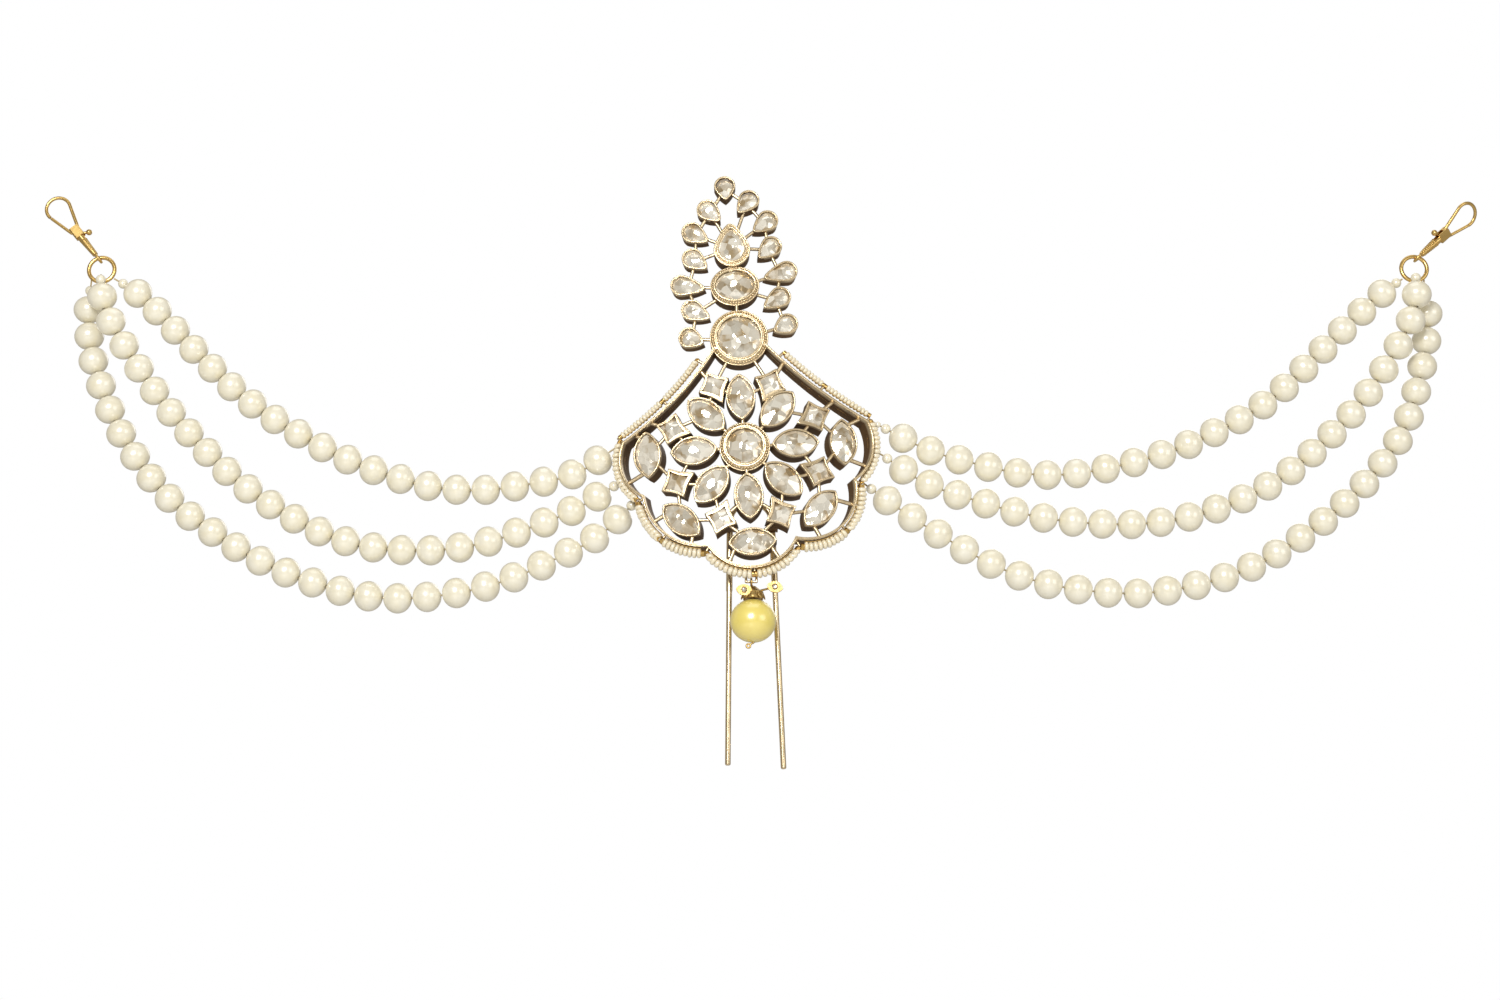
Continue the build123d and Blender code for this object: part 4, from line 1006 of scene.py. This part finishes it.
class ORNAMENT_OT_seeds(bpy.types.Operator):
    """String the seed beads along the border"""

    bl_idname = "ornament.seeds"
    bl_label = "Seed border"

    def execute(self, context):
        sizes = context.scene.ornament_sizes
        for number, (arc, start, end, radius, kind) in enumerate(seed_rows(), start=1):
            length = arc_point(arc, 0)[1] * (end - start)
            pitch = (sizes.slant_pitch if kind == "slant" else sizes.seed_pitch) / MM
            count = max(2, round(length / pitch))
            pitch = length / count
            deselect()
            bpy.ops.mesh.primitive_torus_add(
                major_radius=radius * SEED_RING * MM, minor_radius=radius * SEED_TUBE * MM,
                major_segments=12, minor_segments=8)
            edit_whole(bpy.ops.transform.resize, value=(1, 1, pitch * SEED_FILL / radius))
            places = []
            for step in range(count):
                share = start + (end - start) * (step + 0.5) / count
                wobble = 1 + SEED_WOBBLE * sin(step * WOBBLE_STEP + number)
                place = border_frame(arc, share, SEED_HEIGHT)
                places.append(place @ Matrix.Diagonal((wobble, wobble, 1, 1)))
            row = finish_piece(copies(places), f"seed_row_{number}", finish("seed"),
                               "ornament")
            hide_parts("seed_border")
        return {"FINISHED"}


class ORNAMENT_OT_ties(bpy.types.Operator):
    """Wind the gold thread round the ends of the seed rows and along their inner side"""

    bl_idname = "ornament.ties"
    bl_label = "Border ties"

    def execute(self, context):
        sizes = context.scene.ornament_sizes
        lines = []
        wraps = []
        for arc, start, end, radius, _ in seed_rows():
            line = []
            for step in range(THREAD_STEPS + 1):
                share = start + (end - start) * step / THREAD_STEPS
                x, z = border_inner(arc, share, radius * THREAD_ASIDE)
                line.append(plate_point(x, z, SEED_HEIGHT + radius * THREAD_RISE))
            lines.append(wire(line, sizes.thread * THREAD_WIRE, closed=False, facets=1))
            length = arc_point(arc, 0)[1]
            for edge, way in ((start, -1), (end, 1)):
                for turn in range(TIES):
                    share = edge + way * (TIE_START + TIE_PITCH * turn) / length
                    place = border_frame(arc, share, SEED_HEIGHT)
                    wraps.append(place @ Matrix.Diagonal((radius * TIE_RADIUS,) * 2 + (1, 1)))
        finish_piece(joined(lines), "border_thread", finish("wire"), "ornament")
        deselect()
        bpy.ops.mesh.primitive_torus_add(
            major_radius=MM, minor_radius=sizes.thread * TIE_WIRE,
            major_segments=14, minor_segments=6)
        finish_piece(copies(wraps), "border_ties", finish("wire"), "ornament")
        return {"FINISHED"}


class ORNAMENT_OT_strings(bpy.types.Operator):
    """Dress the pearl strings, their threads, the rings and the hooks, and rib the right barrel"""

    bl_idname = "ornament.strings"
    bl_label = "Strings and hooks"

    def execute(self, context):
        dress([name for name in NODES if name.endswith("_string")], "pearl")
        dress(["left_threads", "right_threads"], "thread")
        for side in ("left", "right"):
            dress([f"{side}_ring", f"{side}_hook", f"{side}_lever"], "wire")
        centre, seat, lean = RIGHT_HOOK
        foot = Vector((centre[0] + RING_RADIUS * sin(radians(seat)), centre[1],
                       centre[2] + RING_RADIUS * cos(radians(seat))))
        leaning = Matrix.Rotation(radians(lean), 4, "Y")
        hook = Matrix.Scale(MM, 4) @ Matrix.Translation(foot) @ leaning
        low, high, low_radius, high_radius = BARREL
        deselect()
        bpy.ops.mesh.primitive_torus_add(
            major_radius=MM, minor_radius=RIB_WIRE * MM, major_segments=24, minor_segments=8)
        places = []
        for step in range(RIBS):
            share = RIB_START + RIB_PITCH * step
            radius = low_radius + (high_radius - low_radius) * share
            spot = hook @ Matrix.Translation((0, 0, low + (high - low) * share))
            places.append(metric(spot) @ Matrix.Diagonal((radius, radius, 1, 1)))
        finish_piece(copies(places), "right_hook_ribs", finish("wire"), "ornament")
        return {"FINISHED"}


class ORNAMENT_OT_drop(bpy.types.Operator):
    """Dress the drop and lay petals round its cap"""

    bl_idname = "ornament.drop"
    bl_label = "Drop"

    def execute(self, context):
        dress(["drop_cap"], "cap")
        dress(["drop_pearl"], "yellow")
        dress(["drop_crystals"], "crystal")
        deselect()
        bpy.ops.mesh.primitive_uv_sphere_add(segments=12, ring_count=8, radius=MM)
        edit_whole(bpy.ops.transform.resize, value=CAP_PETAL_SIZE)
        middle = (CAP_WAIST + CAP_FOOT) / 2
        home = Matrix.Translation(Vector(DROP_PLACE) * MM)
        out = Matrix.Translation((0, -CAP_WAIST_RADIUS * MM, middle * MM))
        tilt = Matrix.Rotation(radians(CAP_PETAL_LEAN), 4, "X")
        places = []
        for step in range(CAP_PETALS):
            around = Matrix.Rotation(2 * pi * step / CAP_PETALS, 4, "Z")
            places.append(home @ around @ out @ tilt)
        finish_piece(copies(places), "drop_petals", finish("cap"), "drop")
        return {"FINISHED"}


class ORNAMENT_OT_studio(bpy.types.Operator):
    """Set the pale floor, the soft lights and the camera"""

    bl_idname = "ornament.studio"
    bl_label = "Studio"

    def execute(self, context):
        deselect()
        bpy.ops.mesh.primitive_plane_add(size=FLOOR_SIZE, location=(0, 0, -FLOOR_DROP))
        floor = context.object
        floor.name = "floor"
        bpy.ops.object.transform_apply(location=True)
        material, _, shader, _ = start_finish("Pale floor", Roughness=0.35)
        shader.inputs["Base Color"].default_value = FLOOR_COLOUR
        floor.data.materials.append(material)
        world = bpy.data.worlds.new("Studio")
        context.scene.world = world
        world.use_nodes = True
        tree = world.node_tree
        air = tree.nodes["Background"]
        air.inputs["Color"].default_value = AIR_COLOUR
        seen = tree.nodes.new("ShaderNodeBackground")
        seen.inputs["Color"].default_value = (1.0, 1.0, 1.0, 1)
        path = tree.nodes.new("ShaderNodeLightPath")
        mix = tree.nodes.new("ShaderNodeMixShader")
        tree.links.new(path.outputs["Is Camera Ray"], mix.inputs[0])
        tree.links.new(air.outputs["Background"], mix.inputs[1])
        tree.links.new(seen.outputs["Background"], mix.inputs[2])
        tree.links.new(mix.outputs["Shader"], tree.nodes["World Output"].inputs["Surface"])
        for name, place, size, power in LIGHTS:
            bpy.ops.object.light_add(type="AREA", location=place)
            light = context.object
            light.name = name
            light.data.size = size
            light.data.energy = power
            light.rotation_euler = (-Vector(place)).to_track_quat("-Z", "Y").to_euler()
        aim = Vector(CAMERA_AIM) * MM
        rise = radians(CAMERA_RISE)
        place = aim + CAMERA_DISTANCE * MM * Vector((0, -cos(rise), sin(rise)))
        bpy.ops.object.camera_add(location=place)
        camera = context.object
        camera.name = "Camera"
        camera.rotation_euler = (aim - place).to_track_quat("-Z", "Y").to_euler()
        camera.data.lens = camera.data.sensor_width * CAMERA_DISTANCE / PIXEL / IMAGE_WIDTH
        camera.data.clip_start = 0.01
        context.scene.camera = camera
        context.scene.view_settings.view_transform = "Standard"
        return {"FINISHED"}


OPERATORS = (ORNAMENT_OT_setting, ORNAMENT_OT_stones, ORNAMENT_OT_bezels, ORNAMENT_OT_collars,
             ORNAMENT_OT_rim, ORNAMENT_OT_seeds, ORNAMENT_OT_ties, ORNAMENT_OT_strings,
             ORNAMENT_OT_drop, ORNAMENT_OT_studio)


class ORNAMENT_PT_panel(bpy.types.Panel):
    """Sidebar panel that lists the steps"""

    bl_idname = "ORNAMENT_PT_panel"
    bl_label = "Turban ornament"
    bl_space_type = "VIEW_3D"
    bl_region_type = "UI"
    bl_category = "Ornament"

    def draw(self, context):
        for settings in (context.scene.ornament_sizes, context.scene.ornament_colours):
            for title in settings.__annotations__:
                self.layout.prop(settings, title)
        for step in OPERATORS:
            self.layout.operator(step.bl_idname)


CLASSES = (OrnamentSizes, OrnamentColours, *OPERATORS, ORNAMENT_PT_panel)


def register():
    """Register the classes and hang the settings on the scene."""
    for cls in CLASSES:
        bpy.utils.register_class(cls)
    bpy.types.Scene.ornament_sizes = bpy.props.PointerProperty(type=OrnamentSizes)
    bpy.types.Scene.ornament_colours = bpy.props.PointerProperty(type=OrnamentColours)


def unregister():
    """Take the settings and the classes away again."""
    del bpy.types.Scene.ornament_colours
    del bpy.types.Scene.ornament_sizes
    for cls in reversed(CLASSES):
        bpy.utils.unregister_class(cls)


def main():
    """Dress the frame step by step."""
    register()
    for step in OPERATORS:
        group, name = step.bl_idname.split(".")
        getattr(getattr(bpy.ops, group), name)()


if __name__ == "__main__":
    main()
